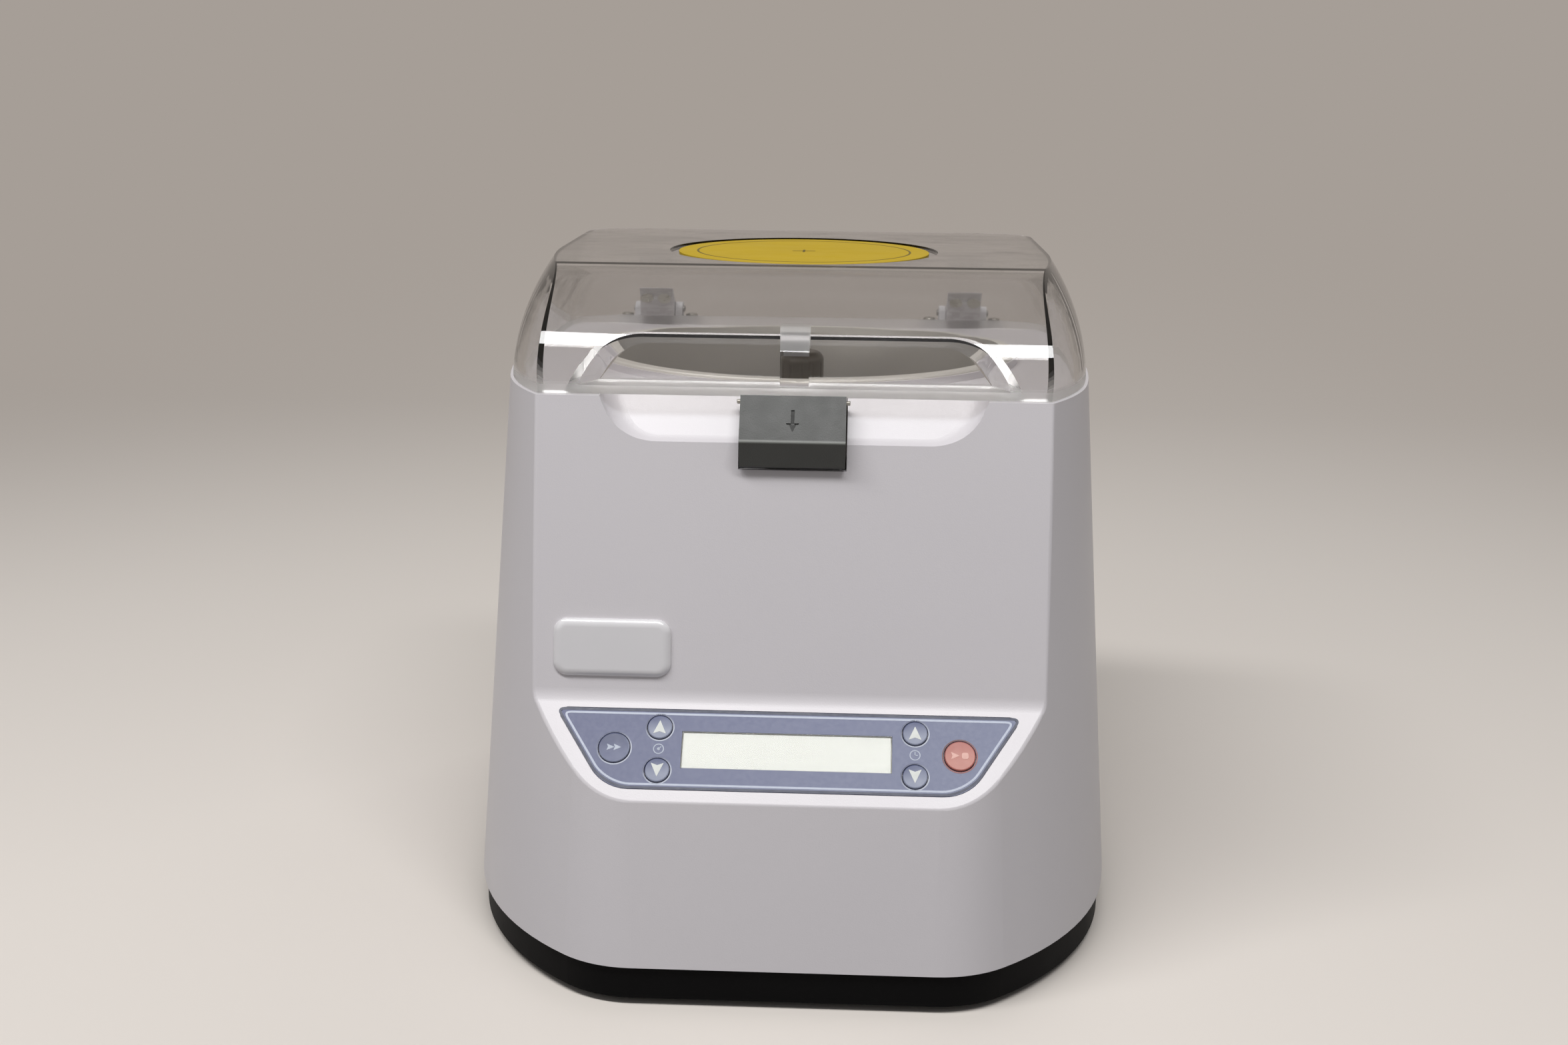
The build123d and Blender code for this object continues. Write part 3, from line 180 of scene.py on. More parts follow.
@dataclass(frozen=True)
class Finish:
    """A solid surface: two close colours, a fine relief and uneven gloss.

    Attributes:
        name: Common name of the material and how its surface was made.
        colour: Main colour, sRGB hex.
        shade: Second colour that drifts through the first, sRGB hex.
        roughness: Mean roughness.
        metallic: 1 for bare metal.
        drift_mm: Size of the patches in which the colour drifts.
        grain_mm: Size of the fine relief.
        depth_mm: Depth of the fine relief.
        uneven: How far the roughness swings each way.
        lines: Direction of the fine relief.
        coat: Clear coat weight.
        coat_roughness: Roughness of the clear coat.
        ior: Index of refraction, left at the default on metal.
    """

    name: str
    colour: str
    shade: str
    roughness: float = 0.5
    metallic: float = 0.0
    drift_mm: float = 60.0
    grain_mm: float = 0.6
    depth_mm: float = 0.02
    uneven: float = 0.04
    lines: Grain = Grain.EVEN
    coat: float = 0.0
    coat_roughness: float = 0.1
    ior: float = 1.5

    def material(self) -> bpy.types.Material:
        """Make this finish a node material, or find it where it is made already.

        Returns:
            The material.
        """
        found = bpy.data.materials.get(self.name)
        if found is not None:
            return found
        mat = bpy.data.materials.new(self.name)
        mat.use_nodes = True
        tree = mat.node_tree
        tree.nodes.clear()
        coords = add_node(tree, "ShaderNodeTexCoord").outputs["Object"]
        add_node(tree, "ShaderNodeOutputMaterial", {"Surface": self.shader(tree, coords)})
        return mat

    def shader(self, tree: Tree, coords: Socket) -> Socket:
        """Wire the Principled shader.

        Args:
            tree: Node tree of the material.
            coords: Place on the object, in metres.

        Returns:
            The shader socket.
        """
        inputs = {
            "Base Color": self.base(tree, coords),
            "Roughness": self.gloss(tree, coords),
            "Normal": self.relief(tree, coords),
            "Metallic": self.metallic,
            "Coat Weight": self.coat,
            "Coat Roughness": self.coat_roughness,
            "IOR": self.ior,
        }
        return add_node(tree, "ShaderNodeBsdfPrincipled", inputs).outputs["BSDF"]

    def base(self, tree: Tree, coords: Socket) -> Socket:
        """Let the colour drift slowly between the two shades.

        Args:
            tree: Node tree of the material.
            coords: Place on the object, in metres.

        Returns:
            The colour socket.
        """
        patches = {"Vector": coords, "Scale": 1 / (self.drift_mm * MM), "Detail": COLOUR_DETAIL}
        drift = add_node(tree, "ShaderNodeTexNoise", patches).outputs["Fac"]
        colours = {"Factor": drift, MIX_NEAR: linear(self.colour), MIX_FAR: linear(self.shade)}
        return add_node(tree, "ShaderNodeMix", colours, data_type="RGBA").outputs[MIX_RESULT]

    def gloss(self, tree: Tree, coords: Socket) -> Socket:
        """Let the roughness swing around its mean, as on handled surfaces.

        Args:
            tree: Node tree of the material.
            coords: Place on the object, in metres.

        Returns:
            The roughness socket.
        """
        finer = GLOSS_FINER / (self.drift_mm * MM)
        patches = {"Vector": coords, "Scale": finer, "Detail": GLOSS_DETAIL}
        swing = {
            "Value": add_node(tree, "ShaderNodeTexNoise", patches).outputs["Fac"],
            "From Min": NOISE_LOW,
            "From Max": NOISE_HIGH,
            "To Min": self.roughness - self.uneven,
            "To Max": self.roughness + self.uneven,
        }
        return add_node(tree, "ShaderNodeMapRange", swing).outputs["Result"]

    def relief(self, tree: Tree, coords: Socket) -> Socket:
        """Raise the fine relief at its real size, drawn out along the lines where it has any.

        Args:
            tree: Node tree of the material.
            coords: Place on the object, in metres.

        Returns:
            The normal socket.
        """
        drawn_out = {"Vector": coords, "Scale": self.lines.value}
        grains = {
            "Vector": add_node(tree, "ShaderNodeMapping", drawn_out).outputs["Vector"],
            "Scale": 1 / (self.grain_mm * MM),
            "Detail": RELIEF_DETAIL,
            "Roughness": RELIEF_ROUGH,
        }
        bump = {
            "Height": add_node(tree, "ShaderNodeTexNoise", grains).outputs["Fac"],
            "Strength": 1.0,
            "Distance": self.depth_mm * MM,
        }
        return add_node(tree, "ShaderNodeBump", bump).outputs["Normal"]


@dataclass(frozen=True)
class ClearFinish(Finish):
    """Clear moulding that lets light through and bends what is behind it.

    Attributes:
        tint: Colour of the light that passes, sRGB hex.
    """

    tint: str = "#F4F6F6"

    def shader(self, tree: Tree, coords: Socket) -> Socket:
        """Wire a clear shader that lets the lamps' light through straight.

        Args:
            tree: Node tree of the material.
            coords: Place on the object, in metres.

        Returns:
            The shader socket.
        """
        inputs = {
            "Base Color": self.base(tree, coords),
            "Roughness": self.gloss(tree, coords),
            "Normal": self.relief(tree, coords),
            "Transmission Weight": 1.0,
            "IOR": self.ior,
        }
        clear = add_node(tree, "ShaderNodeBsdfPrincipled", inputs).outputs["BSDF"]
        colour = {"Color": linear(self.tint)}
        passing = add_node(tree, "ShaderNodeBsdfTransparent", colour).outputs["BSDF"]
        rays = add_node(tree, "ShaderNodeLightPath").outputs
        either = {0: rays["Is Shadow Ray"], 1: rays["Is Diffuse Ray"]}
        lighting = add_node(tree, "ShaderNodeMath", either, operation="MAXIMUM").outputs["Value"]
        return add_node(tree, "ShaderNodeMixShader", {0: lighting, 1: clear, 2: passing}).outputs["Shader"]


@dataclass(frozen=True)
class LidFinish(ClearFinish):
    """Clear lid moulding with parts that the mould left frosted.

    Attributes:
        frosted_mm: Middle and half size of each box inside which the faces are frosted.
        frost: Roughness of those faces.
    """

    frosted_mm: tuple[tuple[Point, Point], ...] = ()
    frost: float = 0.45

    def gloss(self, tree: Tree, coords: Socket) -> Socket:
        """Keep the polish everywhere but inside the frosted boxes.

        Args:
            tree: Node tree of the material.
            coords: Place on the object, in metres.

        Returns:
            The roughness socket.
        """
        rough = super().gloss(tree, coords)
        for middle, half in self.frosted_mm:
            frost = {0: self.inside(tree, coords, middle, half), 1: self.frost}
            frosted = add_node(tree, "ShaderNodeMath", frost, operation="MULTIPLY").outputs["Value"]
            rougher = {0: frosted, 1: rough}
            rough = add_node(tree, "ShaderNodeMath", rougher, operation="MAXIMUM").outputs["Value"]
        return rough

    def inside(self, tree: Tree, coords: Socket, middle: Point, half: Point) -> Socket:
        """Tell whether a place lies in a box.

        Args:
            tree: Node tree of the material.
            coords: Place on the object, in metres.
            middle: Middle of the box, in millimetres.
            half: Half its size each way, in millimetres.

        Returns:
            A socket that is 1 inside the box.
        """
        box = {
            "Vector": coords,
            "Location": tuple(v * MM for v in middle),
            "Scale": tuple(v * MM for v in half),
        }
        local = add_node(tree, "ShaderNodeMapping", box, vector_type="TEXTURE").outputs["Vector"]
        away = add_node(tree, "ShaderNodeVectorMath", {0: local}, operation="ABSOLUTE").outputs["Vector"]
        axes = add_node(tree, "ShaderNodeSeparateXYZ", {0: away}).outputs
        most = axes["X"]
        for name in ("Y", "Z"):
            either = {0: most, 1: axes[name]}
            most = add_node(tree, "ShaderNodeMath", either, operation="MAXIMUM").outputs["Value"]
        return add_node(tree, "ShaderNodeMath", {0: most, 1: 1.0}, operation="LESS_THAN").outputs["Value"]


@dataclass(frozen=True)
class RidgeHighlightFinish(Finish):
    """Moulding with a painted highlight along its ridge.

    Attributes:
        painted_ridge_highlight: Colour of the painted highlight on the ridge, sRGB hex.
        ridge_y_mm: Y of the ridge, which runs along X.
        ridge_z_mm: Z of the ridge.
        reach_mm: How far from the ridge the painted highlight starts.
        full_share: Share of that reach within which it is full.
    """

    painted_ridge_highlight: str = "#808080"
    ridge_y_mm: float = 0.0
    ridge_z_mm: float = 0.0
    reach_mm: float = 1.0
    full_share: float = 0.35

    def base(self, tree: Tree, coords: Socket) -> Socket:
        """Paint a highlight on the drifting colour along the ridge.

        Args:
            tree: Node tree of the material.
            coords: Place on the object, in metres.

        Returns:
            The colour socket.
        """
        ridge = {0: coords, 1: (0, self.ridge_y_mm * MM, self.ridge_z_mm * MM)}
        away = add_node(tree, "ShaderNodeVectorMath", ridge, operation="SUBTRACT").outputs["Vector"]
        only_across = {0: away, 1: (0, 1, 1)}
        across = add_node(tree, "ShaderNodeVectorMath", only_across, operation="MULTIPLY").outputs["Vector"]
        reach = add_node(tree, "ShaderNodeVectorMath", {0: across}, operation="LENGTH").outputs["Value"]
        span = (self.reach_mm * MM, self.full_share * self.reach_mm * MM)
        # Painted highlight along the ridge.
        return blend(tree, reach, span, super().base(tree, coords), linear(self.painted_ridge_highlight))


@dataclass(frozen=True)
class GlowPaintedFinish(Finish):
    """Pale display face with a faint painted glow.

    Attributes:
        glow: Strength of the painted glow.
        dot_mm: Pitch of the display's dots.
        gap: Gap between two dots, as a share of the pitch.
    """

    glow: float = 0.1
    dot_mm: float = 0.6
    gap: float = 0.06

    def shader(self, tree: Tree, coords: Socket) -> Socket:
        """Wire the display face with its faint grid of dots.

        Args:
            tree: Node tree of the material.
            coords: Place on the object, in metres.

        Returns:
            The shader socket.
        """
        dots = {
            "Vector": coords,
            "Color1": linear(self.colour),
            "Color2": linear(self.colour),
            "Mortar": linear(self.shade),
            "Scale": 1 / (self.dot_mm * MM),
            "Mortar Size": self.gap,
            "Brick Width": 1.0,
            "Row Height": 1.0,
        }
        inputs = {
            "Base Color": add_node(tree, "ShaderNodeTexBrick", dots, offset=0.0).outputs["Color"],
            "Roughness": self.gloss(tree, coords),
            "Normal": self.relief(tree, coords),
            "IOR": self.ior,
            # Painted glow that makes the blank cell brighter.
            "Emission Color": linear(self.colour),
            "Emission Strength": self.glow,
        }
        return add_node(tree, "ShaderNodeBsdfPrincipled", inputs).outputs["BSDF"]


@dataclass(frozen=True)
class GradedFinish(Finish):
    """A surface whose colour changes steadily from one end to the other; on the rings round the keys this
    is a painted shade that turns into a painted highlight.

    Attributes:
        far_colour: Colour at the far end, sRGB hex.
        along: Direction from the near end to the far end.
        near_mm: Place of the near end along that direction.
        far_mm: Place of the far end along that direction.
    """

    far_colour: str = "#808080"
    along: Point = (1.0, 0.0, 0.0)
    near_mm: float = 0.0
    far_mm: float = 100.0

    def base(self, tree: Tree, coords: Socket) -> Socket:
        """Let the drifting colour turn into the far colour.

        Args:
            tree: Node tree of the material.
            coords: Place on the object, in metres.

        Returns:
            The colour socket.
        """
        sides = {0: coords, 1: self.along}
        place = add_node(tree, "ShaderNodeVectorMath", sides, operation="DOT_PRODUCT").outputs["Value"]
        span = (self.near_mm * MM, self.far_mm * MM)
        return blend(tree, place, span, super().base(tree, coords), linear(self.far_colour))


@dataclass(frozen=True)
class KeyFinish(Finish):
    """Printed round key with painted shade towards its top, and a rim whose painted shade and painted
    highlight make it look raised.

    Attributes:
        centre_mm: Middle of the key.
        radius_mm: Radius of the key.
        painted_top_shade: Colour of the painted shade towards the key's top, sRGB hex.
        painted_rim_shade: Colour of the painted shade on the rim's upper left, sRGB hex.
        painted_rim_highlight: Colour of the painted highlight on the rim's lower right, sRGB hex.
        top_along: Direction on the face in which it turns into the painted shade at the top.
        top_span: Where that turn starts and ends, in radii from the middle.
        rim_span: Where the rim turns from painted shade to painted highlight, in radii along the shading.
        rim_edge: Where the face turns into the rim, in radii.
    """

    centre_mm: Point = (0.0, 0.0, 0.0)
    radius_mm: float = 5.0
    painted_top_shade: str = "#3F4766"
    painted_rim_shade: str = "#2D3450"
    painted_rim_highlight: str = "#A6ADBF"
    top_along: Point = (-0.2, 1.0, 0.0)
    top_span: Pair = (-0.45, 0.75)
    rim_span: Pair = (-0.7, 0.1)
    rim_edge: Pair = (0.90, 0.96)

    def base(self, tree: Tree, coords: Socket) -> Socket:
        """Paint shade towards the top, and the rim's painted shade and painted highlight at the edge.

        Args:
            tree: Node tree of the material.
            coords: Place on the object, in metres.

        Returns:
            The colour socket.
        """
        key = {
            "Vector": coords,
            "Location": tuple(v * MM for v in self.centre_mm),
            "Rotation": (FACE_TILT, 0, 0),
            "Scale": (self.radius_mm * MM,) * 3,
        }
        local = add_node(tree, "ShaderNodeMapping", key, vector_type="TEXTURE").outputs["Vector"]
        up = {0: local, 1: self.top_along}
        high = add_node(tree, "ShaderNodeVectorMath", up, operation="DOT_PRODUCT").outputs["Value"]
        # Painted shade towards the key's top.
        face = blend(tree, high, self.top_span, super().base(tree, coords), linear(self.painted_top_shade))
        # Painted shade at the rim's upper left, painted highlight at its lower right.
        shading = {0: local, 1: (SHADE_ACROSS, -SHADE_DOWN, 0.0)}
        low = add_node(tree, "ShaderNodeVectorMath", shading, operation="DOT_PRODUCT").outputs["Value"]
        rim = blend(tree, low, self.rim_span, linear(self.painted_rim_shade), linear(self.painted_rim_highlight))
        level = {0: local, 1: (1.0, 1.0, 0.0)}
        flat = add_node(tree, "ShaderNodeVectorMath", level, operation="MULTIPLY").outputs["Vector"]
        radius = add_node(tree, "ShaderNodeVectorMath", {0: flat}, operation="LENGTH").outputs["Value"]
        return blend(tree, radius, self.rim_edge, face, rim)


@dataclass(frozen=True)
class SweepFinish(Finish):
    """Painted studio sweep whose far part looks evenly pale, however little light reaches it.

    Attributes:
        bounce_colour: Colour of the light that it throws back on the object, sRGB hex.
        view_colour: Colour of the far part as it is seen, sRGB hex.
        view_near: Distance from the object at which that colour starts.
        view_far: Distance from which it holds in full.
    """

    bounce_colour: str = "#8C8A88"
    view_colour: str = ROOM_SEEN
    view_near: float = 0.45
    view_far: float = 1.6

    def base(self, tree: Tree, coords: Socket) -> Socket:
        """Make the board pale to the eye and darker to the light that bounces off it.

        Args:
            tree: Node tree of the material.
            coords: Place on the sweep, in metres.

        Returns:
            The colour socket.
        """
        colours = {
            "Factor": seen_ray(tree),
            MIX_NEAR: linear(self.bounce_colour),
            MIX_FAR: super().base(tree, coords),
        }
        return add_node(tree, "ShaderNodeMix", colours, data_type="RGBA").outputs[MIX_RESULT]

    def shader(self, tree: Tree, coords: Socket) -> Socket:
        """Wire painted board that turns into its seen colour with distance.

        Args:
            tree: Node tree of the material.
            coords: Place on the sweep, in metres.

        Returns:
            The shader socket.
        """
        away = add_node(tree, "ShaderNodeVectorMath", {0: coords}, operation="LENGTH").outputs["Value"]
        rise = {"Value": away, "From Min": self.view_near, "From Max": self.view_far}
        far = add_node(tree, "ShaderNodeMapRange", rise, interpolation_type="SMOOTHSTEP").outputs["Result"]
        both = {0: far, 1: seen_ray(tree)}
        share = add_node(tree, "ShaderNodeMath", both, operation="MULTIPLY").outputs["Value"]
        colour = {"Color": linear(self.view_colour)}
        seen = add_node(tree, "ShaderNodeEmission", colour).outputs["Emission"]
        mixed = {0: share, 1: super().shader(tree, coords), 2: seen}
        return add_node(tree, "ShaderNodeMixShader", mixed).outputs["Shader"]


# ---------------------------------------------------------------- finishes of the casing

# An eroded mould gives a cool white with a soft sheen. The relief is drawn at 0.5 mm,
# about twice its real size, so that its fine sparkle shows on the lit slopes.
CASING_ABS = Finish(
    "moulded_abs_cool_white", "#DAD6D9", "#D1CDD1", 0.35,
    drift_mm=140, grain_mm=0.5, depth_mm=0.035, uneven=0.03,
)
# Black plastic with hardly a reflection, so the foot reads as one dark line.
PAN_ABS = Finish(
    "moulded_abs_black", "#040405", "#060607", 0.6, grain_mm=0.7, depth_mm=0.03, ior=1.18
)
# Dead matt black that takes no highlight.
FOOT_RUBBER = Finish(
    "moulded_rubber_black", "#0C0C0C", "#131312", 0.8, drift_mm=8, depth_mm=0.05
)
# Soft matt grey that sets the bowl's lip off from the white deck.
SEAL_RUBBER = Finish("moulded_silicone_grey", "#A9A7A6", "#A09E9D", 0.6, drift_mm=12)
# Middle and half size, in millimetres, of the boxes round the lid's low rim and round
# the top of its striker post.
LID_RIM = ((0, 5, 202), (120, 120, 9.8))
POST_TOP = ((0, -92, 228), (5.3, 6, 4.2))
# A polished mould leaves almost no relief: sharp highlights with a long soft waviness,
# and a milky band where the low rim and the striker post's top are frosted.
LID_CLEAR = LidFinish(
    "clear_polycarbonate_polished", "#EEEDEC", "#E8E7E6", 0.03,
    drift_mm=90, grain_mm=35, depth_mm=0.05, uneven=0.015, ior=1.58, tint="#EEEDEC",
    frosted_mm=(LID_RIM, POST_TOP),
)
# Thin clear sheet: the display shows through it plainly, under a weak reflection.
WINDOW_CLEAR = ClearFinish(
    "clear_acrylic_sheet", "#FAFBFA", "#F5F7F5", 0.02,
    drift_mm=40, grain_mm=20, depth_mm=0.005, uneven=0.01, ior=1.15, tint="#F8F8F7",
)
# Opaque yellow with a soft even sheen, as flexible film has.
DISC_FILM = Finish(
    "printed_film_yellow", "#BFA214", "#B5980E", 0.5,
    drift_mm=30, grain_mm=1.2, depth_mm=0.004, ior=1.3,
)
# Thin matt line, a few shades below the film it lies on.
DISC_INK = Finish("screen_ink_dark_ochre", "#6A5A12", "#60510F", 0.5, drift_mm=10, depth_mm=0.004)
# A dome of clear resin over pale film: the sharp coat draws one bright line near its top.
BADGE_RESIN = Finish(
    "domed_resin_pale_grey", "#DFDDDF", "#D8D6D9", 0.35,
    drift_mm=30, grain_mm=9, depth_mm=0.02, coat=1.0, coat_roughness=0.02,
)
# Slate blue printed film with a fine mottle; its colour turns greyer towards the lower right.
OVERLAY_FILM = GradedFinish(
    "printed_film_slate_blue", "#555A7C", "#4F5476", 0.48,
    drift_mm=3.0, grain_mm=0.4, depth_mm=0.012,
    far_colour="#777D96", along=(0.5, -0.45, -0.4), near_mm=-55, far_mm=75,
)
# The film's dark outer edge, which draws its outline on the casing.
OVERLAY_EDGE = Finish("screen_ink_navy", "#2C334C", "#272D44", 0.42, drift_mm=5, depth_mm=0.005)
# A pale line inside that edge, the brightest print on the film.
BORDER_INK = Finish("screen_ink_lilac", "#B4BBCB", "#A9B0C2", 0.4, drift_mm=4, depth_mm=0.005)
# Signs that stay quiet on the slate film.
PALE_INK = Finish("screen_ink_pale_blue", "#A9B1C0", "#9FA7B7", 0.4, drift_mm=4, depth_mm=0.005)
# Near white that stands out on the dark tops of the arrow keys and on the black rocker.
CREAM_INK = Finish("screen_ink_cream", "#CDD0CC", "#C5C8C4", 0.4, drift_mm=3, depth_mm=0.005)
# A light pink that shows only just on the salmon key.
BLUSH_INK = Finish("screen_ink_blush", "#D8A79B", "#D09E92", 0.42, drift_mm=3, depth_mm=0.005)
# Printed keys under the film: matt, with painted shade towards the top and a rim whose painted shade and
# painted highlight make it look raised.
SALMON_KEY = KeyFinish(
    "printed_film_salmon", "#BF8377", "#B87A6F", 0.45, drift_mm=6.0, grain_mm=0.4, depth_mm=0.01,
    painted_top_shade="#AC685F", painted_rim_shade="#6E3331", painted_rim_highlight="#A9625A",
)
SLATE_KEY = KeyFinish(
    "printed_film_slate", "#636986", "#5C6280", 0.45, drift_mm=6.0, grain_mm=0.4, depth_mm=0.01,
    painted_top_shade="#3F4666", painted_rim_shade="#434A69", painted_rim_highlight="#8E94AA",
)
NAVY_KEY = KeyFinish(
    "printed_film_navy", "#8B91A5", "#83899D", 0.45, drift_mm=6.0, grain_mm=0.4, depth_mm=0.01,
    painted_top_shade="#4E5678", painted_rim_shade="#303858", painted_rim_highlight="#8C92A6",
)
# Rings printed round the keys, with a painted shade at the upper left and a painted highlight at the lower
# right, so that the flat print looks like a groove.
SLATE_RING = GradedFinish(
    "ring_print_painted_shade", "#4A516F", "#4A516F", 0.42, drift_mm=4, depth_mm=0.005, far_colour="#AFB5C3"
)
SALMON_RING = GradedFinish(
    "ring_print_painted_shade", "#5A2C2B", "#5A2C2B", 0.42, drift_mm=4, depth_mm=0.005, far_colour="#8E4C47"
)
# A blank cell with a faint painted glow, which makes it the brightest field on the face.
DISPLAY_PALE = GlowPaintedFinish(
    "display_cell_pale", "#E3E3DE", "#DBDBD5", 0.3,
    drift_mm=30, grain_mm=6, depth_mm=0.003, ior=1.2, glow=0.07,
)
# Dark grey with a coarse grain, and a painted highlight along the ridge that the finger presses.
LATCH_NYLON = RidgeHighlightFinish(
    "moulded_nylon_charcoal", "#353735", "#313331", 0.44,
    drift_mm=14, grain_mm=0.5, depth_mm=0.06, uneven=0.03,
    painted_ridge_highlight="#767874", ridge_y_mm=-112.1, ridge_z_mm=195.2, reach_mm=0.75,
)
# Painted shade in the latch's engraved arrow: matt near black, deeper than the latch round it.
ARROW_SHADE = Finish("painted_engraving_shade", "#1B1C1B", "#212221", 0.6, drift_mm=4, depth_mm=0.01)

# ---------------------------------------------------------------- finishes of fittings and works

# White with a waxy sheen, a little darker than the casing.
HINGE_NYLON = Finish(
    "moulded_nylon_white", "#D0CED0", "#C7C5C8", 0.45, drift_mm=14, grain_mm=0.5, depth_mm=0.02
)
# White with the fine orange peel that baked powder leaves.
BRACKET_COAT = Finish(
    "powder_coated_steel_white", "#CCCBCD", "#C4C3C6", 0.5, drift_mm=20, grain_mm=1.0, depth_mm=0.05
)
# Spinning leaves fine rings that soften all reflections, drawn as lines round the bowl's
# height. The wall looks pale and satin rather than bright, so it is hardly metallic.
BOWL_STEEL = Finish(
    "spun_steel_satin", "#E6E2DC", "#DCD8D1", 0.45, 0.15,
    drift_mm=50, grain_mm=0.8, depth_mm=0.02, uneven=0.06, lines=Grain.STACKED,
)
# Etched and anodised: a pale grey with a soft metallic sheen.
ROTOR_ALUMINIUM = Finish(
    "anodised_aluminium_satin", "#B4B4B6", "#ABAAAD", 0.4, 0.6, drift_mm=40, grain_mm=0.4, depth_mm=0.01
)
# Bright metal whose fine tool marks draw the highlights out.
MACHINED_ALUMINIUM = Finish(
    "machined_aluminium", "#B5B5B6", "#ABABAC", 0.3, 1.0,
    drift_mm=30, grain_mm=0.5, depth_mm=0.02, lines=Grain.ALONG_X,
)
# Darker metal with long fine lines across its highlights.
BRUSHED_STEEL = Finish(
    "brushed_steel", "#8E8D8C", "#84827F", 0.34, 1.0,
    drift_mm=20, grain_mm=0.3, depth_mm=0.015, lines=Grain.ALONG_X,
)
# The plating's faint warm bloom shows on the screw heads.
SCREW_STEEL = Finish(
    "zinc_plated_steel", "#B0AEA8", "#A5A39C", 0.3, 1.0, drift_mm=5, grain_mm=0.5, depth_mm=0.02
)
# Smooth bright plating with a warm tone.
CONTACT_METAL = Finish(
    "nickel_plated_brass", "#C8C4B8", "#BDB9AC", 0.24, 1.0, drift_mm=5, depth_mm=0.01
)
# The edges of stacked sheets show as level dark lines.
LAMINATED_STEEL = Finish(
    "laminated_steel", "#5A5A5C", "#4F4F52", 0.5, 1.0,
    drift_mm=10, grain_mm=0.5, depth_mm=0.08, lines=Grain.STACKED,
)
# Dark grey orange peel that sets the mains parts off from the casing.
PANEL_COAT = Finish(
    "powder_coated_steel_grey", "#56565A", "#505054", 0.5, drift_mm=25, grain_mm=1.1, depth_mm=0.06
)
# Wet-sprayed black: smoother and shinier than powder.
MOTOR_COAT = Finish(
    "painted_steel_black", "#1B1B1D", "#202022", 0.4, drift_mm=20, grain_mm=1.4, depth_mm=0.03
)
# Black with a low sheen that keeps the inlet's edges readable.
SOCKET_PLASTIC = Finish(
    "moulded_polyamide_black", "#151516", "#1B1B1C", 0.46, drift_mm=12, grain_mm=0.5, depth_mm=0.02
)
# Deep green under a glossy film.
BOARD_MASK = Finish(
    "solder_mask_green", "#1E5A38", "#19492E", 0.35, drift_mm=4, grain_mm=1.5, depth_mm=0.03, coat=0.3
)
# Undyed creamy white without shine.
POST_NYLON = Finish("turned_nylon_natural", "#D2CFC2", "#C8C5B6", 0.5, drift_mm=10)
# Brown with a polished skin that catches one soft highlight.
KNOB_PLASTIC = Finish(
    "moulded_phenolic_dark_brown", "#71685A", "#635B4E", 0.34,
    drift_mm=8, grain_mm=0.5, depth_mm=0.01, coat=0.2,
)

NODE_FINISHES: dict[str, Finish] = {
    "base_pan": PAN_ABS,
    "rubber_feet": FOOT_RUBBER,
    "pan_screws": SCREW_STEEL,
    "main_housing": CASING_ABS,
    "front_badge": BADGE_RESIN,
    "rear_panel": PANEL_COAT,
    "rear_panel_screws": SCREW_STEEL,
    "power_inlet": SOCKET_PLASTIC,
    "inlet_blades": CONTACT_METAL,
    "fuse_drawer": SOCKET_PLASTIC,
    "switch_bezel": SOCKET_PLASTIC,
    "power_rocker": SOCKET_PLASTIC,
    "chamber_bowl": BOWL_STEEL,
    "bowl_seal": SEAL_RUBBER,
    "shaft_seal": SEAL_RUBBER,
    "lid_shell": LID_CLEAR,
    "lid_disc": DISC_FILM,
    "hinge_arms": HINGE_NYLON,
    "hinge_arm_screws": SCREW_STEEL,
    "hinge_brackets": BRACKET_COAT,
    "bracket_screws": SCREW_STEEL,
    "hinge_pins": BRUSHED_STEEL,
    "latch_lever": LATCH_NYLON,
    "latch_pin": SCREW_STEEL,
    "latch_spring": SCREW_STEEL,
    "latch_bracket": BRUSHED_STEEL,
    "bracket_bolts": SCREW_STEEL,
    "lid_sensor": SOCKET_PLASTIC,
    "keypad_overlay": OVERLAY_FILM,
    "display_window": WINDOW_CLEAR,
    "display_module": DISPLAY_PALE,
    "control_board": BOARD_MASK,
    "board_posts": POST_NYLON,
    "motor_can": MOTOR_COAT,
    "motor_cap": MACHINED_ALUMINIUM,
    "motor_stator": LAMINATED_STEEL,
    "motor_core": LAMINATED_STEEL,
    "motor_shaft": BRUSHED_STEEL,
    "motor_bearings": BRUSHED_STEEL,
    "motor_plate": MACHINED_ALUMINIUM,
    "motor_screws": SCREW_STEEL,
    "motor_dampers": FOOT_RUBBER,
    "damper_posts": PAN_ABS,
    "supply_board": BOARD_MASK,
    "supply_posts": POST_NYLON,
    "rotor_hub": ROTOR_ALUMINIUM,
    "rotor_cradle": ROTOR_ALUMINIUM,
    "rotor_screws": SCREW_STEEL,
    "rotor_knob": KNOB_PLASTIC,
}


# ---------------------------------------------------------------- modelling by hand


class Element(Enum):
    """What a selection in edit mode takes."""

    CORNER = "VERT"
    EDGE = "EDGE"


def dress(obj: Piece, finish: Finish) -> None:
    """Give an object one finish in place of what it has."""
    obj.data.materials.clear()
    obj.data.materials.append(finish.material())


def deselect() -> None:
    """Leave edit mode and select nothing."""
    if bpy.context.object is not None and bpy.context.object.mode != "OBJECT":
        bpy.ops.object.mode_set(mode="OBJECT")
    bpy.ops.object.select_all(action="DESELECT")


def apply_place() -> None:
    """Move the place, turn and size of the selected objects into their meshes."""
    bpy.ops.object.transform_apply(location=True, rotation=True, scale=True)


def begin(name: str) -> Piece:
    """Name the primitive that was just added and enter its edit mode.

    Args:
        name: Name of the piece.

    Returns:
        The piece.
    """
    obj = bpy.context.object
    obj.name = name
    bpy.ops.object.mode_set(mode="EDIT")
    return obj


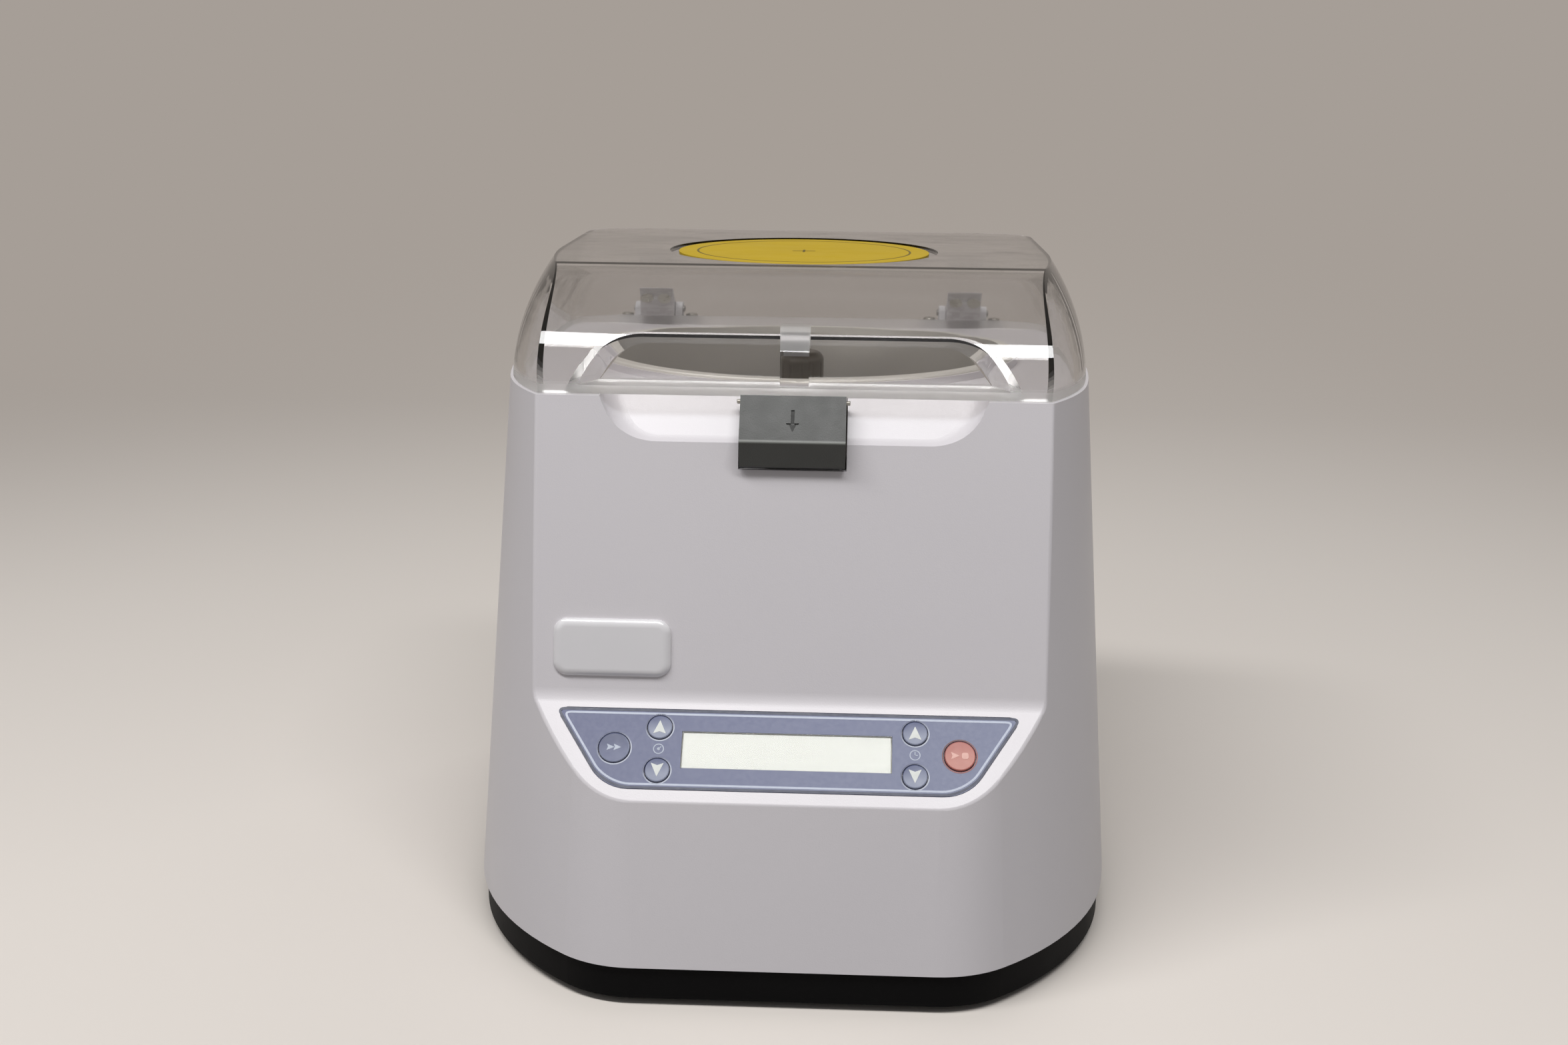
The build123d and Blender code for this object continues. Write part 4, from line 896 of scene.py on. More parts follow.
def pick(obj: Piece, kind: Element, test: Callable[[Vector], bool]) -> None:
    """Select the corners or edges whose middle passes a test, in edit mode.

    Args:
        obj: Active object, in edit mode.
        kind: What is selected.
        test: Takes a middle in the piece's own axes.
    """
    bpy.ops.mesh.select_mode(type=kind.value)
    bpy.ops.mesh.select_all(action="DESELECT")
    bpy.ops.object.mode_set(mode="OBJECT")
    corners = obj.data.vertices
    if kind is Element.CORNER:
        for corner in corners:
            corner.select = test(corner.co)
    else:
        for edge in obj.data.edges:
            first, second = edge.vertices
            edge.select = test((corners[first].co + corners[second].co) / 2)
    bpy.ops.object.mode_set(mode="EDIT")


def rounded_plate(name: str, wide: float, tall: float, corner: float, steps: int) -> Piece:
    """Model a flat rectangle with rounded corners around the origin, and stay in edit mode.

    Args:
        name: Name of the piece.
        wide: Its width.
        tall: Its height.
        corner: Radius of its corners.
        steps: Steps in each corner.

    Returns:
        The piece, in edit mode.
    """
    deselect()
    bpy.ops.mesh.primitive_plane_add(size=1.0)
    bpy.context.object.scale = (wide, tall, 1)
    apply_place()
    obj = begin(name)
    pick(obj, Element.CORNER, lambda v: True)
    bpy.ops.mesh.bevel(offset=corner, segments=steps, affect="VERTICES")
    return obj


def pull_out(high: float) -> None:
    """Pull all faces of the flat piece in edit mode out of their plane.

    Args:
        high: How far they move.
    """
    bpy.ops.mesh.select_all(action="SELECT")
    bpy.ops.mesh.extrude_region_move(TRANSFORM_OT_translate={"value": (0, 0, high)})


def moved(obj: Piece, x: float, y: float, turn: float = 0.0) -> Piece:
    """Turn a flat piece and then move it within its plane.

    Args:
        obj: Piece that moves.
        x: How far it moves across.
        y: How far it moves up.
        turn: How far it turns to the left.

    Returns:
        The same piece.
    """
    turned = Matrix.Rotation(turn, 4, "Z") @ obj.matrix_world
    obj.matrix_world = Matrix.Translation((x, y, 0)) @ turned
    return obj


def join(parts: list[Piece], name: str) -> Piece:
    """Join flat marks into one piece.

    Args:
        parts: Marks in their places.
        name: Name of the piece.

    Returns:
        The joined piece.
    """
    deselect()
    for part in parts:
        part.select_set(True)
    bpy.context.view_layer.objects.active = parts[0]
    apply_place()
    bpy.ops.object.join()
    parts[0].name = name
    return parts[0]


def settle(obj: Piece, place: Matrix, finish: Finish, body: str) -> None:
    """Put a finished piece in its place, dress it and let it ride on its body.

    Args:
        obj: Piece modelled in flat axes of its own.
        place: Where those axes lie in the frame.
        finish: Its finish.
        body: Body that carries it.
    """
    deselect()
    obj.select_set(True)
    bpy.context.view_layer.objects.active = obj
    apply_place()
    obj.matrix_world = place
    apply_place()
    bpy.ops.object.mode_set(mode="EDIT")
    bpy.ops.mesh.select_all(action="SELECT")
    bpy.ops.mesh.remove_doubles(threshold=TINY)
    bpy.ops.mesh.normals_make_consistent(inside=False)
    bpy.ops.object.mode_set(mode="OBJECT")
    dress(obj, finish)
    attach(obj, body)
    log.info("%s: %d faces on %s", obj.name, len(obj.data.polygons), body)


# ---------------------------------------------------------------- printed marks


class Heading(Enum):
    """Where an arrowhead points on the surface that carries it."""

    UP = 1
    DOWN = -1


@dataclass
class PrintedMarks:
    """A part with thin marks, each modelled flat around the origin.

    Attributes:
        print_high: Thickness of a mark.
        ring_sides: Sides of a ring.
        corner_steps: Steps in a rounded corner.
        bar_round: Radius of a bar's corners, as a share of its narrow side.
        head_round: Radius of an arrowhead's corners.
        head_notch: Distance of an arrowhead's notch from its middle, as a share of its height.
        head_wide: Width of an arrowhead, as a share of its height.
    """

    print_high: float = 0.06 * MM
    ring_sides: int = 64
    corner_steps: int = 3
    bar_round: float = 0.3
    head_round: float = 0.22 * MM
    head_notch: float = 0.33
    head_wide: float = 0.9

    def ring(self, name: str, radius: float, line: float, high: float) -> Piece:
        """Model a flat ring around the origin.

        Args:
            name: Name of the piece.
            radius: Outer radius.
            line: Width of the ring.
            high: Thickness of the print.

        Returns:
            The ring as a thin solid.
        """
        deselect()
        bpy.ops.mesh.primitive_circle_add(vertices=self.ring_sides, radius=radius, fill_type="NGON")
        obj = begin(name)
        bpy.ops.mesh.select_all(action="SELECT")
        bpy.ops.mesh.inset(thickness=line, depth=0)
        bpy.ops.mesh.delete(type="FACE")
        pull_out(high)
        bpy.ops.object.mode_set(mode="OBJECT")
        return obj

    def arrow(self, name: str, size: float, heading: Heading = Heading.UP) -> Piece:
        """Model a notched arrowhead with softened corners.

        Args:
            name: Name of the piece.
            size: Height of the head.
            heading: Where it points.

        Returns:
            The head as a thin solid.
        """
        deselect()
        half = size / 2
        bpy.ops.mesh.primitive_circle_add(vertices=4, radius=half, fill_type="NGON")
        obj = begin(name)
        way = heading.value
        pick(obj, Element.CORNER, lambda v: v.y * way < -half / 2)
        bpy.ops.transform.translate(value=(0, way * (half - size * self.head_notch), 0))
        pick(obj, Element.CORNER, lambda v: abs(v.x) > half / 2)
        bpy.ops.transform.translate(value=(0, -way * half, 0))
        bpy.ops.transform.resize(value=(self.head_wide, 1, 1))
        pick(obj, Element.CORNER, lambda v: abs(v.x) > half / 2 or v.y * way > half / 2)
        bpy.ops.mesh.bevel(offset=self.head_round, segments=self.corner_steps, affect="VERTICES")
        pull_out(self.print_high)
        bpy.ops.object.mode_set(mode="OBJECT")
        return obj

    def bar(self, name: str, wide: float, tall: float) -> Piece:
        """Model a small bar with rounded corners.

        Args:
            name: Name of the piece.
            wide: Its width.
            tall: Its height.

        Returns:
            The bar as a thin solid.
        """
        obj = rounded_plate(name, wide, tall, min(wide, tall) * self.bar_round, self.corner_steps)
        pull_out(self.print_high)
        bpy.ops.object.mode_set(mode="OBJECT")
        return obj


# ---------------------------------------------------------------- control face


@dataclass(frozen=True)
class Key:
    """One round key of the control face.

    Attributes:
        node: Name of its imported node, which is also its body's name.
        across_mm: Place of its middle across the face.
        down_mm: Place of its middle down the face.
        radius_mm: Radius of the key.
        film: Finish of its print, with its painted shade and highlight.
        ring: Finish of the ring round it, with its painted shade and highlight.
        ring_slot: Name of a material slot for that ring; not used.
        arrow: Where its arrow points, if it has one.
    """

    node: str
    across_mm: float
    down_mm: float
    radius_mm: float
    film: KeyFinish
    ring: GradedFinish = SLATE_RING
    ring_slot: str = "overlay_blue"
    arrow: Heading | None = None


@dataclass
class ControlFace(PrintedMarks):
    """Printed film, keys and signs of the sloping control face.

    Attributes:
        key_out: How far a key's top stands out of the face.
        outer_mm: Distance of a large key from the middle, across the face.
        pair_mm: Distance of a pair of arrow keys from the middle, across the face.
        row_mm: Distance of the large keys and the signs down the face.
        step_mm: Distance of an arrow key above or below that row.
        large_r_mm: Radius of a large key.
        small_r_mm: Radius of an arrow key.
        film_top: Half width of the film's top edge, and its distance down the face.
        film_foot: Half width of the film's lower edge, and its distance down the face.
        foot_corner: Radius of the film's lower corners.
        foot_steps: Steps in each of those corners.
        top_corner: Radius of the film's upper corners.
        top_steps: Steps in each of those corners.
        top_growth: How much that radius grows for a line drawn in from the film's edge.
        edge_wide: Width of the film's dark edge.
        border_in: Distance of the pale line from the film's edge.
        border_wide: Width of the pale line.
        ring_out: How far a ring reaches beyond its key.
        ring_wide: Width of a ring.
        ring_span: Where a ring turns from painted shade to painted highlight, in radii along the shading.
        head_share: Height of an arrow, as a share of its key's radius.
        chevron: Height of each arrowhead in the short spin sign.
        chevron_out: Distance of each from the sign's middle.
        play: Height of the arrowhead in the start and stop sign.
        play_out: Its distance to the left of the sign's middle.
        stop: Side of that sign's square.
        stop_out: Its distance to the right of the sign's middle.
        dial_r: Radius of the speed and time signs.
        dial_line: Width of their rings.
        hand_wide: Width of their hands and of the hub's ring.
        hand_long: Length of the needle and of the clock's long hand.
        hand_short: Length of the clock's short hand.
        long_out: Distance of the long hand's middle above the clock's.
        short_out: Distance of the short hand's middle to the right of the clock's.
        needle_out: Distance of the needle's middle from the dial's, across and up.
        hub_r: Radius of the needle's hub.
    """

    key_out: float = 0.7 * MM
    outer_mm: float = 59.7
    pair_mm: float = 44.3
    row_mm: float = 19.3
    step_mm: float = 7.9
    large_r_mm: float = 5.4
    small_r_mm: float = 4.3
    film_top: Pair = (81.5 * MM, 4.6 * MM)
    film_foot: Pair = (62.5 * MM, 34.0 * MM)
    foot_corner: float = 8.9 * MM
    foot_steps: int = 10
    top_corner: float = 3.2 * MM
    top_steps: int = 6
    top_growth: float = 1.8
    edge_wide: float = 0.9 * MM
    border_in: float = 1.35 * MM
    border_wide: float = 0.75 * MM
    ring_out: float = 0.78 * MM
    ring_wide: float = 0.42 * MM
    ring_span: Pair = (-0.8, 0.7)
    head_share: float = 1.16
    chevron: float = 2.7 * MM
    chevron_out: float = 1.2 * MM
    play: float = 3.0 * MM
    play_out: float = 1.6 * MM
    stop: float = 2.3 * MM
    stop_out: float = 1.8 * MM
    dial_r: float = 1.9 * MM
    dial_line: float = 0.35 * MM
    hand_wide: float = 0.3 * MM
    hand_long: float = 1.5 * MM
    hand_short: float = 1.1 * MM
    long_out: float = 0.6 * MM
    short_out: float = 0.45 * MM
    needle_out: float = 0.35 * MM
    hub_r: float = 0.5 * MM

    def keys(self) -> tuple[Key, ...]:
        """List the six keys, from left to right and from above.

        Returns:
            The keys.
        """
        above = self.row_mm - self.step_mm
        below = self.row_mm + self.step_mm
        arrows = [
            Key(f"{name}_{way}_button", side, down, self.small_r_mm, NAVY_KEY, arrow=heading)
            for name, side in (("speed", -self.pair_mm), ("time", self.pair_mm))
            for way, down, heading in (("up", above, Heading.UP), ("down", below, Heading.DOWN))
        ]
        spin = Key("short_spin_button", -self.outer_mm, self.row_mm, self.large_r_mm, SLATE_KEY)
        start = Key(
            "start_stop_button", self.outer_mm, self.row_mm, self.large_r_mm, SALMON_KEY,
            ring=SALMON_RING, ring_slot="button_red",
        )
        return (spin, *arrows, start)

    def place(self, across_mm: float = 0.0, down_mm: float = 0.0, out: float = 0.0) -> Matrix:
        """Lay axes on the face: X across, Y up the slope, Z out of it.

        Args:
            across_mm: Place of their origin across the face.
            down_mm: Place of their origin down the face.
            out: How far they stand out of it.

        Returns:
            The axes as a matrix.
        """
        edge = Matrix.Translation((0, FACE_TOP_Y, FACE_TOP_Z))
        spot = Matrix.Translation((across_mm * MM, -down_mm * MM, out))
        return edge @ Matrix.Rotation(FACE_TILT, 4, "X") @ spot

    def key_finish(self, key: Key) -> KeyFinish:
        """Draw a key's print, painted shade and painted highlight round that key's own middle.

        Args:
            key: The key.

        Returns:
            Its finish.
        """
        middle = self.place(key.across_mm, key.down_mm, self.key_out).translation / MM
        return replace(
            key.film, name=f"{key.film.name}_{key.node}", centre_mm=tuple(middle), radius_mm=key.radius_mm
        )

    def ring_finish(self, key: Key) -> GradedFinish:
        """Lay the painted shade and painted highlight of the ring round a key across that key's own middle.

        Args:
            key: The key.

        Returns:
            The ring's finish.
        """
        fall = SHADE_DOWN * math.cos(FACE_TILT)
        sink = SHADE_DOWN * math.sin(FACE_TILT)
        along = Vector((SHADE_ACROSS, -fall, -sink))
        middle = along.dot(self.place(key.across_mm, key.down_mm).translation) / MM
        dark, pale = self.ring_span
        return replace(
            key.ring, name=f"{key.ring.name}_{key.node}", along=tuple(along),
            near_mm=middle + dark * key.radius_mm, far_mm=middle + pale * key.radius_mm,
        )

    def outline(self, name: str, drawn_in: float, line: float) -> Piece:
        """Model one closed line that follows the film's outline.

        Args:
            name: Name of the piece.
            drawn_in: Distance from the film's edge to the line's outer side.
            line: Width of the line.

        Returns:
            The line as a thin solid, in the face's axes.
        """
        deselect()
        half = 1 * MM
        bpy.ops.mesh.primitive_plane_add(size=2 * half, location=(0, 0, 0))
        obj = begin(name)
        top_half, top_down = self.film_top
        foot_half, foot_down = self.film_foot
        pick(obj, Element.CORNER, lambda v: v.y > 0)
        bpy.ops.transform.resize(value=(top_half / half, 1, 1))
        bpy.ops.transform.translate(value=(0, -top_down - half, 0))
        pick(obj, Element.CORNER, lambda v: abs(v.x) < 2 * half)
        bpy.ops.transform.resize(value=(foot_half / half, 1, 1))
        bpy.ops.transform.translate(value=(0, -foot_down + half, 0))
        pick(obj, Element.CORNER, lambda v: v.y < -(top_down + foot_down) / 2)
        bpy.ops.mesh.bevel(
            offset_type="OFFSET", offset=self.foot_corner, segments=self.foot_steps, affect="VERTICES"
        )
        corner = self.top_corner + self.top_growth * drawn_in
        pick(obj, Element.CORNER, lambda v: abs(v.x) > (top_half + foot_half) / 2)
        bpy.ops.mesh.bevel(
            offset_type="OFFSET", offset=corner, segments=self.top_steps, affect="VERTICES"
        )
        bpy.ops.mesh.select_all(action="SELECT")
        bpy.ops.mesh.select_mode(type="FACE")
        if drawn_in > 0:
            bpy.ops.mesh.inset(thickness=drawn_in, depth=0)
            bpy.ops.mesh.select_all(action="INVERT")
            bpy.ops.mesh.delete(type="FACE")
            bpy.ops.mesh.select_all(action="SELECT")
        bpy.ops.mesh.inset(thickness=line, depth=0)
        bpy.ops.mesh.delete(type="FACE")
        pull_out(self.print_high)
        bpy.ops.object.mode_set(mode="OBJECT")
        return obj

    def build(self) -> None:
        """Dress the keys, then model and dress every printed mark."""
        for key in self.keys():
            dress(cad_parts[key.node], self.key_finish(key))
            log.info("%s: printed key", key.node)
        edge = self.outline("overlay_edge_print", 0.0, self.edge_wide)
        settle(edge, self.place(), OVERLAY_EDGE, "casing")
        line = self.outline("overlay_border_line", self.border_in, self.border_wide)
        settle(line, self.place(), BORDER_INK, "casing")
        for key in self.keys():
            radius = key.radius_mm * MM + self.ring_out
            ring = self.ring(f"ring_{key.node}", radius, self.ring_wide, self.print_high)
            spot = self.place(key.across_mm, key.down_mm)
            settle(ring, spot, self.ring_finish(key), "casing")
        for key in self.keys():
            if key.arrow is not None:
                head = self.arrow(f"{key.node}_arrow", key.radius_mm * self.head_share * MM, key.arrow)
                spot = self.place(key.across_mm, key.down_mm, self.key_out)
                settle(head, spot, CREAM_INK, key.node)
        self.build_key_signs()
        self.build_dials()

    def build_key_signs(self) -> None:
        """Model the plain signs on the short spin key and on the start and stop key."""
        right = -math.pi / 2
        chevrons = []
        for number, shift in enumerate((-self.chevron_out, self.chevron_out)):
            chevrons.append(moved(self.arrow(f"chevron_{number}", self.chevron), shift, 0, right))
        sign = join(chevrons, "short_spin_sign")
        spot = self.place(-self.outer_mm, self.row_mm, self.key_out)
        settle(sign, spot, PALE_INK, "short_spin_button")
        play = moved(self.arrow("play_mark", self.play), -self.play_out, 0, right)
        stop = moved(self.bar("stop_mark", self.stop, self.stop), self.stop_out, 0)
        sign = join([play, stop], "start_stop_sign")
        spot = self.place(self.outer_mm, self.row_mm, self.key_out)
        settle(sign, spot, BLUSH_INK, "start_stop_button")

    def build_dials(self) -> None:
        """Model the small clock and the small dial between the arrow keys."""
        clock = [
            self.ring("clock_ring", self.dial_r, self.dial_line, self.print_high),
            moved(self.bar("clock_long_hand", self.hand_wide, self.hand_long), 0, self.long_out),
            moved(self.bar("clock_short_hand", self.hand_short, self.hand_wide), self.short_out, 0),
        ]
        spot = self.place(self.pair_mm, self.row_mm)
        settle(join(clock, "time_sign"), spot, PALE_INK, "casing")
        needle = self.bar("dial_needle", self.hand_wide, self.hand_long)
        dial = [
            self.ring("dial_ring", self.dial_r, self.dial_line, self.print_high),
            moved(needle, self.needle_out, self.needle_out, -math.pi / 4),
            self.ring("dial_hub", self.hub_r, self.hand_wide, self.print_high),
        ]
        spot = self.place(-self.pair_mm, self.row_mm)
        settle(join(dial, "speed_sign"), spot, PALE_INK, "casing")


# ---------------------------------------------------------------- front badge and latch mark


@dataclass
class FrontBadge:
    """Blank badge with a dome of clear resin, low on the left of the front.

    Attributes:
        lean: Angle by which the front leans back.
        middle: Place of the badge's middle, across and up the front face.
        width: Width of the badge.
        height: Height of the badge.
        corner_r: Radius of its corners.
        corner_steps: Steps in each corner.
        wall: Height of its upright rim.
        dome_r: Radius of the bend between rim and crown.
        dome_steps: Steps in that bend.
        rim_slope: Slope of the dome at its rim.
        crease: Angle above which an edge stays sharp.
    """

    lean: float = math.radians(6.84)
    middle: Pair = (-62.0 * MM, 17.5 * MM)
    width: float = 41.2 * MM
    height: float = 20.4 * MM
    corner_r: float = 5.0 * MM
    corner_steps: int = 14
    wall: float = 0.62 * MM
    dome_r: float = 3.8 * MM
    dome_steps: int = 14
    rim_slope: float = math.radians(50)
    crease: float = math.radians(35)

    def build(self) -> None:
        """Model the dome ring by ring and let it stand for the plain badge."""
        obj = rounded_plate("domed_badge", self.width, self.height, self.corner_r, self.corner_steps)
        pull_out(self.wall)
        for step in range(self.dome_steps):
            steep = self.rim_slope * (1 - step / self.dome_steps)
            flat = self.rim_slope * (1 - (step + 1) / self.dome_steps)
            bpy.ops.mesh.inset(
                thickness=self.dome_r * (math.sin(steep) - math.sin(flat)),
                depth=self.dome_r * (math.cos(flat) - math.cos(steep)),
            )
        bpy.ops.object.mode_set(mode="OBJECT")
        foot = Matrix.Translation((0, FACE_TOP_Y, FACE_TOP_Z))
        turn = Matrix.Rotation(math.pi / 2 - self.lean, 4, "X")
        place = foot @ turn @ Matrix.Translation((*self.middle, 0))
        settle(obj, place, BADGE_RESIN, "casing")
        bpy.ops.object.shade_smooth_by_angle(angle=self.crease)
        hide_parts("front_badge")


@dataclass
class LatchMark(PrintedMarks):
    """Down arrow on the latch: painted shade laid in its engraving.

    Attributes:
        middle: Place of the arrow's middle on the latch's upper face.
        run: Depth of that face from front to back, seen from above.
        rise: Height of that face.
        depth: Depth of the engraving.
        stem: Width and height of the arrow's stem.
        stem_up: Distance of the stem's middle above the arrow's.
        head: Height of the arrow's head.
        head_down: Distance of the head's middle below the arrow's.
    """

    middle: Point = (0.0, -108.4 * MM, 200.76 * MM)
    run: float = 9.9 * MM
    rise: float = 14.5 * MM
    depth: float = 0.5 * MM
    stem: Pair = (1.1 * MM, 4.9 * MM)
    stem_up: float = 2.6 * MM
    head: float = 3.1 * MM
    head_down: float = 1.3 * MM

    def build(self) -> None:
        """Model and dress the arrow's head and stem."""
        stem = moved(self.bar("latch_arrow_stem", *self.stem), 0, self.stem_up)
        head = moved(self.arrow("latch_arrow_head", self.head, Heading.DOWN), 0, -self.head_down)
        arrow = join([stem, head], "latch_arrow_shade")
        slope = Matrix.Rotation(math.atan2(self.rise, self.run), 4, "X")
        place = Matrix.Translation(self.middle) @ slope @ Matrix.Translation((0, 0, -self.depth))
        settle(arrow, place, ARROW_SHADE, "latch")


# ---------------------------------------------------------------- power switch


@dataclass
class PowerSwitch(PrintedMarks):
    """On and off marks printed on the two halves of the rear rocker.

    Attributes:
        on_middle_mm: Middle of the upper half.
        on_facing: Direction in which that half faces.
        off_middle_mm: Middle of the lower half.
        off_facing: Direction in which that half faces.
        line: Width and height of the on mark.
        ring_r: Radius of the off mark.
        ring_wide: Width of its ring.
    """

    on_middle_mm: Point = (-36.0, 143.01, 58.08)
    on_facing: Point = (0.0, 0.9777, -0.2102)
    off_middle_mm: Point = (-36.0, 142.44, 48.7)
    off_facing: Point = (0.0, 0.9959, 0.0906)
    line: Pair = (0.7 * MM, 4.6 * MM)
    ring_r: float = 2.2 * MM
    ring_wide: float = 0.65 * MM

    def place(self, middle_mm: Point, facing: Point) -> Matrix:
        """Lay axes on one half of the rocker, X to the right seen from the rear.

        Args:
            middle_mm: Middle of that half.
            facing: Direction in which it faces.

        Returns:
            The axes as a matrix.
        """
        out = Vector(facing).normalized()
        across = Vector((-1, 0, 0))
        turn = Matrix((across, out.cross(across), out)).transposed().to_4x4()
        return Matrix.Translation(Vector(middle_mm) * MM) @ turn

    def build(self) -> None:
        """Model and dress the line and the circle."""
        line = self.bar("rocker_on_mark", *self.line)
        spot = self.place(self.on_middle_mm, self.on_facing)
        settle(line, spot, CREAM_INK, "power_rocker")
        ring = self.ring("rocker_off_mark", self.ring_r, self.ring_wide, self.print_high)
        spot = self.place(self.off_middle_mm, self.off_facing)
        settle(ring, spot, CREAM_INK, "power_rocker")


# ---------------------------------------------------------------- lid disc


@dataclass
class LidDisc(PrintedMarks):
    """Faint printed ring and cross on the disc in the lid's top.

    Attributes:
        top_z: Height of the disc's top.
        ring_r: Radius of the ring.
        ring_wide: Width of the ring.
        ring_high: Thickness of its print.
        cross: Length of the cross.
        cross_wide: Width of its bars.
    """

    top_z: float = 248.7 * MM
    ring_r: float = 42.0 * MM
    ring_wide: float = 0.8 * MM
    ring_high: float = 0.05 * MM
    cross: float = 9.0 * MM
    cross_wide: float = 0.9 * MM

    def build(self) -> None:
        """Model and dress the ring and the cross."""
        place = Matrix.Translation((0, 0, self.top_z))
        ring = self.ring("disc_ring_print", self.ring_r, self.ring_wide, self.ring_high)
        settle(ring, place, DISC_INK, "lid")
        across = self.bar("cross_long", self.cross, self.cross_wide)
        upright = self.bar("cross_short", self.cross_wide, self.cross)
        settle(join([across, upright], "disc_centre_mark"), place, DISC_INK, "lid")


# ---------------------------------------------------------------- stage

# Matt painted board: pale, even and without gloss, so that the object's shadow reads on it.
SWEEP_PAINT = SweepFinish(
    "painted_studio_sweep", "#E3DCD5", "#DFD8D1", 0.8, drift_mm=900, grain_mm=6, depth_mm=0.02
)


@dataclass(frozen=True)
class Lamp:
    """A soft rectangular lamp that points at the rotor's axis.

    Attributes:
        name: Name of the lamp.
        place: Where it hangs.
        aim_z: Height of the place at which it points.
        size: Width and height of its face.
        power: Power in watts.
        mirrored: Whether shiny and clear surfaces show it.
    """

    name: str
    place: Point
    aim_z: float
    size: Pair
    power: float
    mirrored: bool = True

    def hang(self) -> None:
        """Make the lamp and turn it to the object."""
        light = bpy.data.lights.new(self.name, "AREA")
        light.shape = "RECTANGLE"
        light.size = self.size[0]
        light.size_y = self.size[1]
        light.energy = self.power
        obj = bpy.data.objects.new(self.name, light)
        bpy.context.scene.collection.objects.link(obj)
        obj.location = self.place
        aim = Vector((0, 0, self.aim_z)) - Vector(self.place)
        obj.rotation_euler = aim.to_track_quat("-Z", "Y").to_euler()
        obj.visible_camera = False
        obj.visible_glossy = self.mirrored
        obj.visible_transmission = self.mirrored
        log.info("%s: %.1f W", self.name, self.power)


